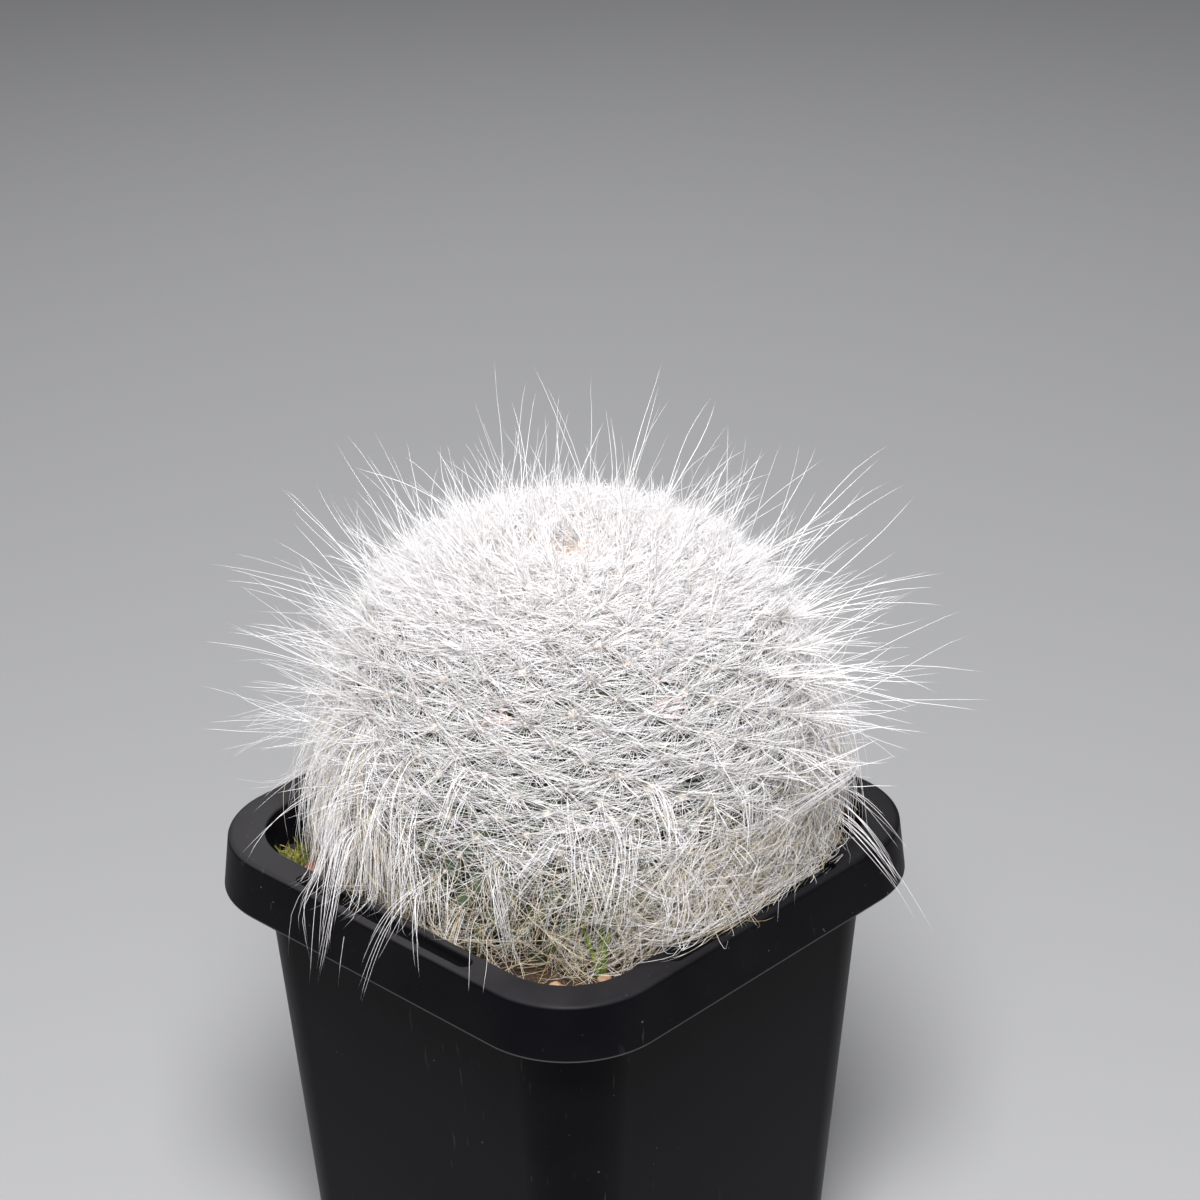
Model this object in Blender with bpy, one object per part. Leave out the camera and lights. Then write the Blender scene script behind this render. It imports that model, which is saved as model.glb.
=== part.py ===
"""A potted old lady cactus: a round, white-haired cactus in a square black growers' pot.

The origin is the middle of the pot's underside, +Z is up and the pot's sides lie along X and Y.
"""

import math

import bmesh
import bpy
import numpy as np
from mathutils import Vector
from mathutils.bvhtree import BVHTree
from mathutils.geometry import delaunay_2d_cdt

MM = 0.001
SEAT = 0.3 * MM

# Pot
POT_HEIGHT = 100.0 * MM
RIM_HALF = 45.0 * MM
RIM_RADIUS = 17.0 * MM
SKIRT_DEPTH = 9.7 * MM
SKIRT_FLARE = 1.0 * MM
SKIRT_WALL = 1.0 * MM
LIP_WIDTH = 5.7 * MM
LIP_THICKNESS = 1.2 * MM
LIP_EDGE = 1.0 * MM
MOUTH_RADIUS = 12.9 * MM
WALL = 0.9 * MM
FOOT_HALF = 32.5 * MM
FOOT_RADIUS = 8.0 * MM
FOOT_EDGE = 0.8 * MM
FLOOR = 1.4 * MM
CORNER_STEPS = 7
SLOT_LENGTH = 40.0 * MM
SLOT_WIDTH = 3.0 * MM
SLOT_MIDDLE = 42.1 * MM
SLOT_ROUNDING = 0.98
DRAIN_RADIUS = 3.5 * MM
DRAIN_COUNT = 8
SIDE_DRAIN_OUT = 21.0 * MM
CORNER_DRAIN_OUT = 24.4 * MM
CUT_BEYOND = 1.0 * MM

# Potting mix
MIX_DEPTH_BELOW_RIM = 7.5 * MM
MIX_TOP = POT_HEIGHT - MIX_DEPTH_BELOW_RIM
MIX_BUMP = 0.7 * MM
MIX_STEPS = 40
MIX_BANDS = (1.0, 0.72, 0.4, 0.12, 0.0)

# Grit chips in the four corner gaps
CHIPS_PER_CORNER = 4
CHIP_RADIUS = (1.3 * MM, 2.7 * MM)
CHIP_OUT = (40.5 * MM, 46.5 * MM)
CHIP_SPREAD = math.radians(13.0)
CHIP_CLEARANCE = 0.5 * MM

# Cactus body
PLANT_X = 1.6 * MM
PLANT_Y = -1.6 * MM
BODY_RADIUS = 38.5 * MM
BODY_MIDDLE = POT_HEIGHT + 17.0 * MM
BODY_RISE = 36.0 * MM
BODY_FALL = 43.0 * MM
BODY_POWER = 2.3
CROWN_DIP = 2.6 * MM
CROWN_DIP_RADIUS = 9.0 * MM
TUBERCLE = 2.6 * MM
AREOLE_SPACING = 6.9 * MM
AREOLE_RADIUS = 0.85 * MM
AREOLE_DOME = 0.25 * MM
SPINES_PER_AREOLE = 5
LOWEST_AREOLE = MIX_TOP + 3.4 * MM
COLLAR = MIX_TOP + 1.1 * MM
ROOT_STEPS = ((-8.0, 0.80), (-15.0, 0.52), (-20.0, 0.22), (-42.0, 0.09))
GOLDEN_TURN = math.radians(137.508)

# Spines and bristles
SEED = 11
SPINE_THICKNESS = 0.32 * MM
SPINE_LENGTH = (5.5 * MM, 9.0 * MM)
CROWN_SPINE_LENGTH = (4.0 * MM, 7.0 * MM)
SPINE_LIFT = (math.radians(24.0), math.radians(46.0))
BRISTLE_LENGTH = (13.0 * MM, 25.0 * MM)
LONG_BRISTLE_LENGTH = (29.0 * MM, 37.0 * MM)
LONG_BRISTLE_EVERY = 4
CROWN_BRISTLE_LENGTH = (8.0 * MM, 15.0 * MM)
CROWN_RADIUS = 11.0 * MM
CROWN_SHORTENING = 0.2
BRISTLE_WANDER = 0.32
BRISTLE_SAG = 0.22
TRIES = 40
SHORTENING = 0.6
SPINE_SWING = 0.42
CROWN_LIFT = 0.5
SHAFT_GAP = 0.08 * MM
CLEARANCE = 0.6 * MM

# Locks of bristles that fall over the rim: bearing in degrees, drop below the rim
LOCKS = (
    (172.0, 11.0 * MM),
    (206.0, 13.0 * MM),
    (252.0, 12.0 * MM),
    (318.0, 10.0 * MM),
    (20.0, 11.0 * MM),
    (74.0, 12.0 * MM),
    (118.0, 9.0 * MM),
)
LOCK_SPREAD = math.radians(11.0)
LOCK_HEIGHTS = (POT_HEIGHT + 3.0 * MM, POT_HEIGHT + 15.0 * MM)
LOCK_OUT = 3.2 * MM


def clear_scene():
    """Remove whatever the file holds."""
    for obj in list(bpy.data.objects):
        bpy.data.objects.remove(obj, do_unlink=True)


def new_collection(name):
    """A collection linked to the scene."""
    collection = bpy.data.collections.new(name)
    bpy.context.scene.collection.children.link(collection)
    return collection


def new_material(name, colour, roughness, metallic=0.0):
    """A Principled material."""
    material = bpy.data.materials.new(name)
    material.use_nodes = True
    shader = material.node_tree.nodes["Principled BSDF"]
    shader.inputs["Base Color"].default_value = (*colour, 1.0)
    shader.inputs["Roughness"].default_value = roughness
    shader.inputs["Metallic"].default_value = metallic
    return material


def new_object(name, points, faces, collection, material=None):
    """One mesh object from world points and faces."""
    mesh = bpy.data.meshes.new(name)
    mesh.from_pydata([tuple(point) for point in points], [], faces)
    mesh.update()
    obj = bpy.data.objects.new(name, mesh)
    collection.objects.link(obj)
    if material:
        mesh.materials.append(material)
    return obj


def square_ring(half, radius, height, half_y=None):
    """Points of a round-cornered rectangle, anticlockwise from above."""
    half_y = half if half_y is None else half_y
    points = []
    for corner, (side_x, side_y) in enumerate(((1, 1), (-1, 1), (-1, -1), (1, -1))):
        for step in range(CORNER_STEPS + 1):
            turn = (corner + step / CORNER_STEPS) * math.pi / 2
            x = side_x * (half - radius) + radius * math.cos(turn)
            y = side_y * (half_y - radius) + radius * math.sin(turn)
            points.append((x, y, height))
    return points


def loft(rings):
    """A closed body through rings of one count, from the first ring's cap to the last one's.

    Rings that climb on the outside and come back down on the inside give a cup.
    """
    count = len(rings[0])
    points = [point for ring in rings for point in ring]
    faces = []
    for level in range(len(rings) - 1):
        for step in range(count):
            following = (step + 1) % count
            low, high = level * count, (level + 1) * count
            faces.append((low + step, low + following, high + following, high + step))
    last = (len(rings) - 1) * count
    for first, outwards in ((0, -1), (last, 1)):
        middle = len(points)
        points.append(tuple(np.mean(rings[first // count], axis=0)))
        for step in range(count):
            pair = (first + step, first + (step + 1) % count)
            faces.append((middle, *pair[::outwards]))
    return points, faces


def smooth(obj, angle=math.radians(40)):
    """Round shading, with edges sharper than the angle kept."""
    obj.data.shade_smooth()
    obj.data.set_sharp_from_angle(angle=angle)


def make_pot(parts, cutters, material):
    """The moulded pot: tapered wall, drop skirt, flat slotted lip and drained floor."""
    mouth = RIM_HALF - LIP_WIDTH
    wall_top = mouth + WALL
    wall_top_radius = MOUTH_RADIUS + WALL
    skirt_foot = POT_HEIGHT - SKIRT_DEPTH
    under_lip = POT_HEIGHT - LIP_THICKNESS
    round_off = LIP_EDGE * (1 - math.sqrt(0.5))
    outline = (
        (FOOT_HALF - FOOT_EDGE, FOOT_RADIUS - FOOT_EDGE, 0.0),
        (FOOT_HALF, FOOT_RADIUS, FOOT_EDGE),
        (wall_top, wall_top_radius, under_lip),
        (RIM_HALF - SKIRT_WALL, RIM_RADIUS - SKIRT_WALL, under_lip),
        (RIM_HALF + SKIRT_FLARE - SKIRT_WALL, RIM_RADIUS + SKIRT_FLARE - SKIRT_WALL, skirt_foot),
        (RIM_HALF + SKIRT_FLARE, RIM_RADIUS + SKIRT_FLARE, skirt_foot),
        (RIM_HALF, RIM_RADIUS, POT_HEIGHT - LIP_EDGE),
        (RIM_HALF - round_off, RIM_RADIUS - round_off, POT_HEIGHT - round_off),
        (RIM_HALF - LIP_EDGE, RIM_RADIUS - LIP_EDGE, POT_HEIGHT),
        (mouth + WALL / 3, MOUTH_RADIUS + WALL / 3, POT_HEIGHT),
        (mouth, MOUTH_RADIUS, POT_HEIGHT - WALL / 3),
        (FOOT_HALF - WALL, FOOT_RADIUS - WALL, FLOOR),
    )
    pot = new_object("pot", *loft([square_ring(*row) for row in outline]), parts, material)

    half_length, half_width = SLOT_LENGTH / 2, SLOT_WIDTH / 2
    for number in range(4):
        heights = (under_lip - CUT_BEYOND, POT_HEIGHT + CUT_BEYOND)
        rings = [square_ring(half_width, half_width * SLOT_ROUNDING, z, half_length) for z in heights]
        slot = new_object(f"slot_cutter_{number + 1}", *loft(rings), cutters)
        turn = number * math.pi / 2
        slot.location = (SLOT_MIDDLE * math.cos(turn), SLOT_MIDDLE * math.sin(turn), 0.0)
        slot.rotation_euler.z = turn
    for number in range(DRAIN_COUNT):
        turn = number * 2 * math.pi / DRAIN_COUNT
        out = CORNER_DRAIN_OUT if number % 2 else SIDE_DRAIN_OUT
        depth = 2 * (FLOOR + CUT_BEYOND)
        bpy.ops.mesh.primitive_cylinder_add(vertices=16, radius=DRAIN_RADIUS, depth=depth)
        drain = bpy.context.active_object
        drain.name = f"drain_cutter_{number + 1}"
        drain.location = (out * math.cos(turn), out * math.sin(turn), 0.0)
        for collection in list(drain.users_collection):
            collection.objects.unlink(drain)
        cutters.objects.link(drain)
    for cutter in cutters.objects:
        cutter.hide_render = True
        cutter.display_type = "WIRE"
    cut = pot.modifiers.new("slots and drains", "BOOLEAN")
    cut.operation = "DIFFERENCE"
    cut.operand_type = "COLLECTION"
    cut.collection = cutters
    smooth(pot)
    return pot


def inner_half(height):
    """Half width and corner radius of the pot's inside at a height."""
    share = (height - FLOOR) / (POT_HEIGHT - WALL / 3 - FLOOR)
    half = (FOOT_HALF - WALL) + share * (RIM_HALF - LIP_WIDTH - FOOT_HALF + WALL)
    radius = (FOOT_RADIUS - WALL) + share * (MOUTH_RADIUS - FOOT_RADIUS + WALL)
    return half, radius


def square_reach(points, half, radius):
    """Signed distance from points to a round-cornered square, negative inside it."""
    corner = np.abs(points[:, :2]) - (half - radius)
    outside = np.linalg.norm(np.maximum(corner, 0.0), axis=1)
    inside = np.minimum(corner.max(axis=1), 0.0)
    return outside + inside - radius


def mix_height(x, y):
    """Height of the potting mix's gently lumpy top."""
    lumps = math.sin(x * 190 + 0.7) * math.cos(y * 170 - 0.4)
    lumps += 0.6 * math.sin(x * 410 - y * 330 + 1.9)
    return MIX_TOP + MIX_BUMP * lumps / 1.6


def body_radius(height):
    """Radius of the body through the tubercle tips, by a rounded-box curve of height."""
    reach = BODY_RISE if height > BODY_MIDDLE else BODY_FALL
    share = min(abs(height - BODY_MIDDLE) / reach, 1.0)
    return BODY_RADIUS * (1 - share**BODY_POWER) ** (1 / BODY_POWER)


def ground_rings(clearance):
    """Radius and height of the plain skin below the tubercles, from the collar to the root tip."""
    collar_radius = body_radius(COLLAR) - TUBERCLE
    rows = [(collar_radius + clearance, COLLAR)]
    for drop, share in ROOT_STEPS:
        rows.append((collar_radius * share + clearance, MIX_TOP + drop * MM - clearance))
    return rows


def plant_ring(radius, height):
    """Points of a circle round the plant's axis."""
    turns = [2 * math.pi * step / MIX_STEPS for step in range(MIX_STEPS)]
    return [(PLANT_X + radius * math.cos(t), PLANT_Y + radius * math.sin(t), height) for t in turns]


def pot_ring(height):
    """Points of the mix's outer side, in the directions of the plant ring's points."""
    half, radius = inner_half(height)
    half, radius = half - SEAT, radius - SEAT
    points = []
    for step in range(MIX_STEPS):
        turn = 2 * math.pi * step / MIX_STEPS
        direction = np.array([[math.cos(turn), math.sin(turn)]])
        near, far = 0.0, 2 * half
        for _ in range(40):
            middle = (near + far) / 2
            inside = square_reach(direction * middle, half, radius)[0] < 0
            near, far = (middle, far) if inside else (near, middle)
        points.append((*(direction[0] * near), height))
    return points


def make_mix(parts, material):
    """The potting mix: it fills the pot, and a plain hole takes the body's foot and the root."""
    hole = ground_rings(SEAT)
    outer = pot_ring(MIX_TOP - MIX_BUMP)
    inner = plant_ring(hole[0][0], MIX_TOP)
    top = []
    for share in MIX_BANDS:
        band = []
        for far, near in zip(outer, inner):
            x = near[0] + share * (far[0] - near[0])
            y = near[1] + share * (far[1] - near[1])
            band.append((x, y, mix_height(x, y) if share < 1 else far[2]))
        top.append(band)
    inside = [plant_ring(radius, height) for radius, height in hole[1:]]
    rings = [pot_ring(FLOOR + SEAT), *top, *inside]
    points, faces = loft(rings)
    mix = new_object("potting_mix", points, faces, parts, material)
    smooth(mix)
    return mix


def surface_tree(obj):
    """A search tree of an object's own mesh."""
    mesh = obj.data
    return BVHTree.FromPolygons([v.co for v in mesh.vertices], [p.vertices for p in mesh.polygons])


def make_chips(parts, mix, material):
    """Angular grit chips dropped on the mix in the corner gaps; gives each centre and radius."""
    rng = np.random.default_rng(SEED)
    ground = surface_tree(mix)
    placed = []
    for corner in range(4):
        for _ in range(CHIPS_PER_CORNER):
            for _ in range(TRIES * 5):
                radius = rng.uniform(*CHIP_RADIUS)
                out = rng.uniform(*CHIP_OUT)
                turn = (corner + 0.5) * math.pi / 2 + rng.uniform(-1, 1) * CHIP_SPREAD
                spot = np.array([[out * math.cos(turn), out * math.sin(turn)]])
                apart = all(math.dist(spot[0], c[:2]) > radius + r + CHIP_CLEARANCE for c, r in placed)
                half, round_corner = inner_half(MIX_TOP)
                room = -square_reach(spot, half, round_corner)[0] > radius + CHIP_CLEARANCE
                stem = math.dist(spot[0], (PLANT_X, PLANT_Y)) > BODY_RADIUS - TUBERCLE + radius
                if apart and room and stem:
                    break
            else:
                continue
            sphere = bmesh.new()
            bmesh.ops.create_icosphere(sphere, subdivisions=2 if radius > 2.0 * MM else 1, radius=radius)
            stretch = Vector(rng.uniform((0.75, 0.7, 0.5), (1.0, 0.95, 0.8)))
            spin = rng.uniform(0, 2 * math.pi)
            for vertex in sphere.verts:
                x, y, z = vertex.co * stretch * rng.uniform(0.86, 1.0)
                vertex.co = (
                    x * math.cos(spin) - y * math.sin(spin),
                    x * math.sin(spin) + y * math.cos(spin),
                    z,
                )
            rise = -1.0
            for vertex in sphere.verts:
                above = Vector((spot[0][0] + vertex.co.x, spot[0][1] + vertex.co.y, 2 * POT_HEIGHT))
                hit = ground.ray_cast(above, Vector((0, 0, -1)))[0]
                rise = max(rise, hit.z - vertex.co.z)
            centre = Vector((spot[0][0], spot[0][1], rise + SEAT))
            bmesh.ops.translate(sphere, verts=sphere.verts, vec=centre)
            name = f"grit_chip_{len(placed) + 1:02d}"
            mesh = bpy.data.meshes.new(name)
            sphere.to_mesh(mesh)
            sphere.free()
            mesh.materials.append(material)
            chip = bpy.data.objects.new(name, mesh)
            parts.objects.link(chip)
            placed.append((tuple(centre), radius))
    return placed


class BodyProfile:
    """The body as a surface of revolution, with a map of it on a plane that keeps angles."""

    def __init__(self):
        share = np.linspace(0.0, 1.0, 1500)
        rise = BODY_MIDDLE + BODY_RISE * np.cos(share * math.pi / 2)
        fall = np.linspace(BODY_MIDDLE, COLLAR, 800)[1:]
        height = np.concatenate([rise, fall])
        radius = np.array([body_radius(z) for z in height])
        radius[0] = 0.0
        height -= CROWN_DIP * np.exp(-((radius / CROWN_DIP_RADIUS) ** 2))
        step = np.hypot(np.diff(radius), np.diff(height))
        middle = (radius[1:] + radius[:-1]) / 2
        self.radius = radius
        self.height = height
        self.area = np.concatenate([[0.0], np.cumsum(2 * math.pi * middle * step)])
        spread = np.concatenate([[0.0], np.cumsum(step[1:] / middle[1:])])
        self.map_radius = np.concatenate([[0.0], radius[1] * np.exp(spread)])
        along = np.stack([np.gradient(radius), np.gradient(height)], axis=1)
        along /= np.linalg.norm(along, axis=1, keepdims=True)
        self.normal = np.stack([-along[:, 1], along[:, 0]], axis=1)

    def map_radius_of_area(self, area):
        """Radius on the map that has so much of the skin inside it."""
        return float(np.interp(area, self.area, self.map_radius))

    def area_at_height(self, height):
        """Area of the skin above a height on the body's side."""
        return float(np.interp(-height, -self.height, self.area))

    def place(self, u, v, sunk=0.0):
        """World point and outward normal of a map point, sunk below the tips."""
        reach = math.hypot(u, v)
        turn = math.atan2(v, u)
        r, z, nr, nz = (
            np.interp(reach, self.map_radius, row)
            for row in (self.radius, self.height, self.normal[:, 0], self.normal[:, 1])
        )
        outward = np.array([math.cos(turn), math.sin(turn), 0.0])
        normal = nr * outward + np.array([0.0, 0.0, nz])
        normal /= np.linalg.norm(normal)
        point = np.array([PLANT_X, PLANT_Y, z]) + r * outward - sunk * normal
        return point, normal


class Shafts:
    """All spines and bristles so far, as tapering segments, with the room that they leave."""

    def __init__(self, chips):
        self.start = np.empty((0, 3))
        self.end = np.empty((0, 3))
        self.thick = np.empty((0, 2))
        self.owner = np.empty(0, dtype=int)
        self.chips = chips

    def blocked(self, path):
        """Whether a path comes too close to the pot, the mix, the chips or the body."""
        share = np.linspace(0.0, 1.0, 9)[1:, None]
        points = np.concatenate([a + share * (b - a) for a, b in zip(path[:-1], path[1:])])
        mouth = RIM_HALF - LIP_WIDTH
        z = points[:, 2]
        within = square_reach(points, mouth, MOUTH_RADIUS)
        flared, flared_radius = RIM_HALF + SKIRT_FLARE, RIM_RADIUS + SKIRT_FLARE
        beyond = square_reach(points, flared, flared_radius)
        low = z < POT_HEIGHT + CLEARANCE
        wall_room = 0.45 * MM + CLEARANCE
        if np.any(low & (within > -wall_room) & (beyond < CLEARANCE)):
            return True
        if np.any((within < 0) & (z < MIX_TOP + MIX_BUMP + CLEARANCE)):
            return True
        for centre, radius in self.chips:
            if np.any(np.linalg.norm(points - centre, axis=1) < radius + CLEARANCE):
                return True
        out = np.hypot(points[:, 0] - PLANT_X, points[:, 1] - PLANT_Y)
        far = np.linalg.norm(points - path[0], axis=1) > 2.5 * MM
        reach = np.where(z > BODY_MIDDLE, BODY_RISE, BODY_FALL)
        level = np.abs(z - BODY_MIDDLE) / reach
        inside = (out / BODY_RADIUS) ** BODY_POWER + level**BODY_POWER < 1.04
        crown = (out < CROWN_DIP_RADIUS) & (z > BODY_MIDDLE)
        return bool(np.any(far & inside & ~crown))

    def crosses(self, path, thickness, owner):
        """Whether a path touches another shaft; those of its own areole count past the base."""
        if not len(self.start):
            return False
        steps = len(path) - 1
        for number, (start, end) in enumerate(zip(path[:-1], path[1:])):
            first = thickness * (1 - number / steps)
            last = thickness * (1 - (number + 1) / steps)
            own = self.owner == owner
            begin = start + (end - start) * (0.22 if number == 0 else 0.0)
            for rows, origin in ((~own, start), (own, begin)):
                if not rows.any():
                    continue
                gap, near, other = self.gaps(origin, end, self.start[rows], self.end[rows])
                mine = first + near * (last - first)
                thick = self.thick[rows]
                theirs = thick[:, 0] + other * (thick[:, 1] - thick[:, 0])
                if np.any(gap < mine + theirs + SHAFT_GAP):
                    return True
        return False

    @staticmethod
    def gaps(start, end, starts, ends):
        """Shortest distances from one segment to many, and where along each they lie."""
        mine = end - start
        theirs = ends - starts
        between = start - starts
        a = mine @ mine
        e = np.einsum("ij,ij->i", theirs, theirs)
        f = np.einsum("ij,ij->i", theirs, between)
        c = between @ mine
        b = theirs @ mine
        spread = a * e - b * b
        near = np.clip(np.where(spread > 1e-18, (b * f - c * e) / np.maximum(spread, 1e-18), 0.0), 0, 1)
        other = np.clip((b * near + f) / e, 0, 1)
        near = np.clip((b * other - c) / a, 0, 1)
        gap = between + near[:, None] * mine - other[:, None] * theirs
        return np.linalg.norm(gap, axis=1), near, other

    def add(self, path, thickness, owner):
        """Keep a path."""
        steps = len(path) - 1
        taper = [thickness * (1 - number / steps) for number in range(steps + 1)]
        self.start = np.vstack([self.start, path[:-1]])
        self.end = np.vstack([self.end, path[1:]])
        self.thick = np.vstack([self.thick, list(zip(taper[:-1], taper[1:]))])
        self.owner = np.append(self.owner, [owner] * steps)


def unit(vector):
    """A vector of length one."""
    return vector / np.linalg.norm(vector)


def tangents(normal, heading=None):
    """Two directions in the skin: the first nearest a heading, or up the body."""
    heading = np.array([0.0, 0.0, 1.0]) if heading is None else heading
    first = heading - normal * (heading @ normal)
    if np.linalg.norm(first) < 1e-3:
        first = np.array([normal[2], 0.0, -normal[0]])
    first = unit(first)
    return first, np.cross(normal, first)


def bristle_path(base, normal, rng, length):
    """A bristle's path: out of the skin, leaning by chance, and sagging towards its tip."""
    lean = rng.normal(0.0, BRISTLE_WANDER, 3)
    low = np.clip((POT_HEIGHT + 22 * MM - base[2]) / (22 * MM), 0.0, 1.0)
    heading = unit(normal + lean + np.array([0.0, 0.0, 0.15 - 0.25 * low]))
    if heading @ normal < 0.55:
        heading = unit(heading + normal)
    sag = np.array([0.0, 0.0, -BRISTLE_SAG * length * rng.uniform(0.2, 1.0) * (1 - normal[2])])
    middle = base + heading * length * 0.5 + 0.2 * sag
    return [base, middle, base + heading * length + sag]


def lock_path(base, bearing, drop, rng):
    """A path over the lip and down outside the skirt."""
    out = np.array([math.cos(bearing), math.sin(bearing), 0.0])
    rows = []
    for beyond, height in ((-1.5 * MM, 4.5 * MM), (LOCK_OUT, -2.0 * MM), (LOCK_OUT + 1 * MM, -drop)):
        near, far = 0.0, 80 * MM
        for _ in range(30):
            middle = (near + far) / 2
            spot = np.array([[PLANT_X, PLANT_Y]]) + out[None, :2] * middle
            short = square_reach(spot, RIM_HALF, RIM_RADIUS)[0] < beyond
            near, far = (middle, far) if short else (near, middle)
        point = np.array([PLANT_X, PLANT_Y, POT_HEIGHT + height]) + out * near
        rows.append(point + rng.normal(0.0, 0.5 * MM, 3) * np.array([1.0, 1.0, 0.6]))
    return [base, *rows]


def lock_of(base):
    """The lock that a tubercle belongs to, as bearing and drop, or None."""
    bearing = math.atan2(base[1] - PLANT_Y, base[0] - PLANT_X)
    if not LOCK_HEIGHTS[0] < base[2] < LOCK_HEIGHTS[1]:
        return None
    for degrees, drop in LOCKS:
        middle = math.radians(degrees)
        apart = abs((bearing - middle + math.pi) % (2 * math.pi) - math.pi)
        if apart < LOCK_SPREAD:
            return bearing, drop
    return None


class CactusMesh:
    """The cactus's one closed mesh: tubercles, spines raised from the areoles, and root."""

    def __init__(self, profile, shafts):
        self.profile = profile
        self.shafts = shafts
        self.rng = np.random.default_rng(SEED)
        self.points = []
        self.faces = []

    def point(self, place):
        """Add a point and give its number."""
        self.points.append(tuple(place))
        return len(self.points) - 1

    def build(self):
        """Raise every tubercle and its spines, then close the body with the root."""
        tips, triangles = self.lattice()
        count = len(tips) - MIX_STEPS
        valleys = []
        for triangle in triangles:
            u, v = np.mean([tips[corner] for corner in triangle], axis=0)
            valleys.append(((u, v), self.point(self.profile.place(u, v, TUBERCLE)[0])))
        around = [[] for _ in tips]
        for number, triangle in enumerate(triangles):
            for corner in triangle:
                around[corner].append(number)
        self.collar(tips, triangles, valleys, around, count)
        cells = [self.cell(tips[number], [valleys[n] for n in around[number]]) for number in range(count)]
        self.plan_bristles(cells)
        self.plan_spines(cells)
        for cell in cells:
            self.raise_cell(cell)
        self.root()

    def lattice(self):
        """Areoles on a golden-angle spiral of even area, and the triangles between them."""
        cell_area = AREOLE_SPACING**2 * math.sqrt(3) / 2
        total = self.profile.area_at_height(LOWEST_AREOLE)
        tips = []
        for number in range(int(total / cell_area)):
            reach = self.profile.map_radius_of_area((number + 0.6) * cell_area)
            turn = number * GOLDEN_TURN
            tips.append((reach * math.cos(turn), reach * math.sin(turn)))
        edge = self.profile.map_radius[-1]
        for step in range(MIX_STEPS):
            turn = 2 * math.pi * step / MIX_STEPS
            tips.append((edge * math.cos(turn), edge * math.sin(turn)))
        scale = 1.0 / edge
        flat = [Vector((u * scale, v * scale)) for u, v in tips]
        faces = delaunay_2d_cdt(flat, [], [], 0, 1e-7)[2]
        return tips, [tuple(face) for face in faces]

    def collar(self, tips, triangles, valleys, around, count):
        """Join the valleys to the plain ring of skin at the mix."""
        radius, height = ground_rings(0.0)[0]
        ring = [self.point(place) for place in plant_ring(radius, height)]
        self.ring = ring
        owner = {}
        for number, triangle in enumerate(triangles):
            edge = [corner for corner in triangle if corner >= count]
            if len(edge) == 2:
                first, second = sorted(corner - count for corner in edge)
                if second - first > 1:
                    first, second = second, first
                owner[first] = number
        for step in range(MIX_STEPS):
            following = (step + 1) % MIX_STEPS
            self.faces.append((ring[step], ring[following], valleys[owner[step]][1]))
            fan = self.sort_round(tips[count + step], [valleys[n] for n in around[count + step]])
            start = [place[1] for place in fan].index(valleys[owner[step]][1])
            fan = fan[start:] + fan[:start]
            for near, far in zip(fan[:-1], fan[1:]):
                self.faces.append((ring[step], near[1], far[1]))

    @staticmethod
    def sort_round(middle, places):
        """Map points in anticlockwise order round one of them."""
        return sorted(places, key=lambda p: math.atan2(p[0][1] - middle[1], p[0][0] - middle[0]))

    def cell(self, tip, valleys):
        """One tubercle: its place, its frame and its ring of valley points."""
        base, normal = self.profile.place(*tip)
        return {
            "base": base,
            "normal": normal,
            "valleys": [self.points[n] for _, n in valleys],
            "numbers": [n for _, n in valleys],
            "paths": [None] * SPINES_PER_AREOLE,
        }

    def sector_base(self, cell, sector):
        """Middle of one sector of the areole, where its spine stands."""
        turn = 2 * math.pi * (sector + 0.5) / SPINES_PER_AREOLE
        out = cell["along"] * math.cos(turn) + cell["across"] * math.sin(turn)
        return cell["base"] + out * AREOLE_RADIUS * 0.55, out

    def try_path(self, cell, sector, owner, draw):
        """Keep the first drawn path that touches nothing."""
        for attempt in range(TRIES):
            path = np.array(draw(attempt))
            if self.shafts.blocked(path):
                continue
            if self.shafts.crosses(path, SPINE_THICKNESS, owner):
                continue
            self.shafts.add(path, SPINE_THICKNESS, owner)
            cell["paths"][sector] = path
            return True
        return False

    def plan_bristles(self, cells):
        """One bristle from each areole, the long ones spread evenly over the body."""
        for number, cell in enumerate(cells):
            base, normal = cell["base"], cell["normal"]
            out = math.hypot(base[0] - PLANT_X, base[1] - PLANT_Y)
            if number % LONG_BRISTLE_EVERY == 0:
                lengths = LONG_BRISTLE_LENGTH
            elif out < CROWN_RADIUS:
                lengths = CROWN_BRISTLE_LENGTH
            else:
                lengths = BRISTLE_LENGTH
            first = bristle_path(base, normal, self.rng, 1.0)
            heading = unit(first[1] - first[0] + 1e-4 * normal)
            cell["along"], cell["across"] = tangents(normal, heading)
            turn = -math.pi / SPINES_PER_AREOLE
            along = cell["along"] * math.cos(turn) + cell["across"] * math.sin(turn)
            cell["along"], cell["across"] = along, np.cross(normal, along)
            foot, _ = self.sector_base(cell, 0)
            lock = lock_of(base)

            def draw(attempt):
                if lock and attempt < TRIES // 2:
                    return lock_path(foot, lock[0], lock[1] * self.rng.uniform(0.5, 1.1), self.rng)
                length = self.rng.uniform(*lengths) * (1 - SHORTENING * attempt / TRIES)
                length *= 1 - CROWN_SHORTENING * max(normal[2], 0.0)
                path = bristle_path(foot, normal, self.rng, length)
                toward = (path[1] - path[0]) @ self.sector_base(cell, 0)[1]
                return path if toward > 0 else bristle_path(foot, normal, self.rng, length)

            self.try_path(cell, 0, number, draw)

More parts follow.
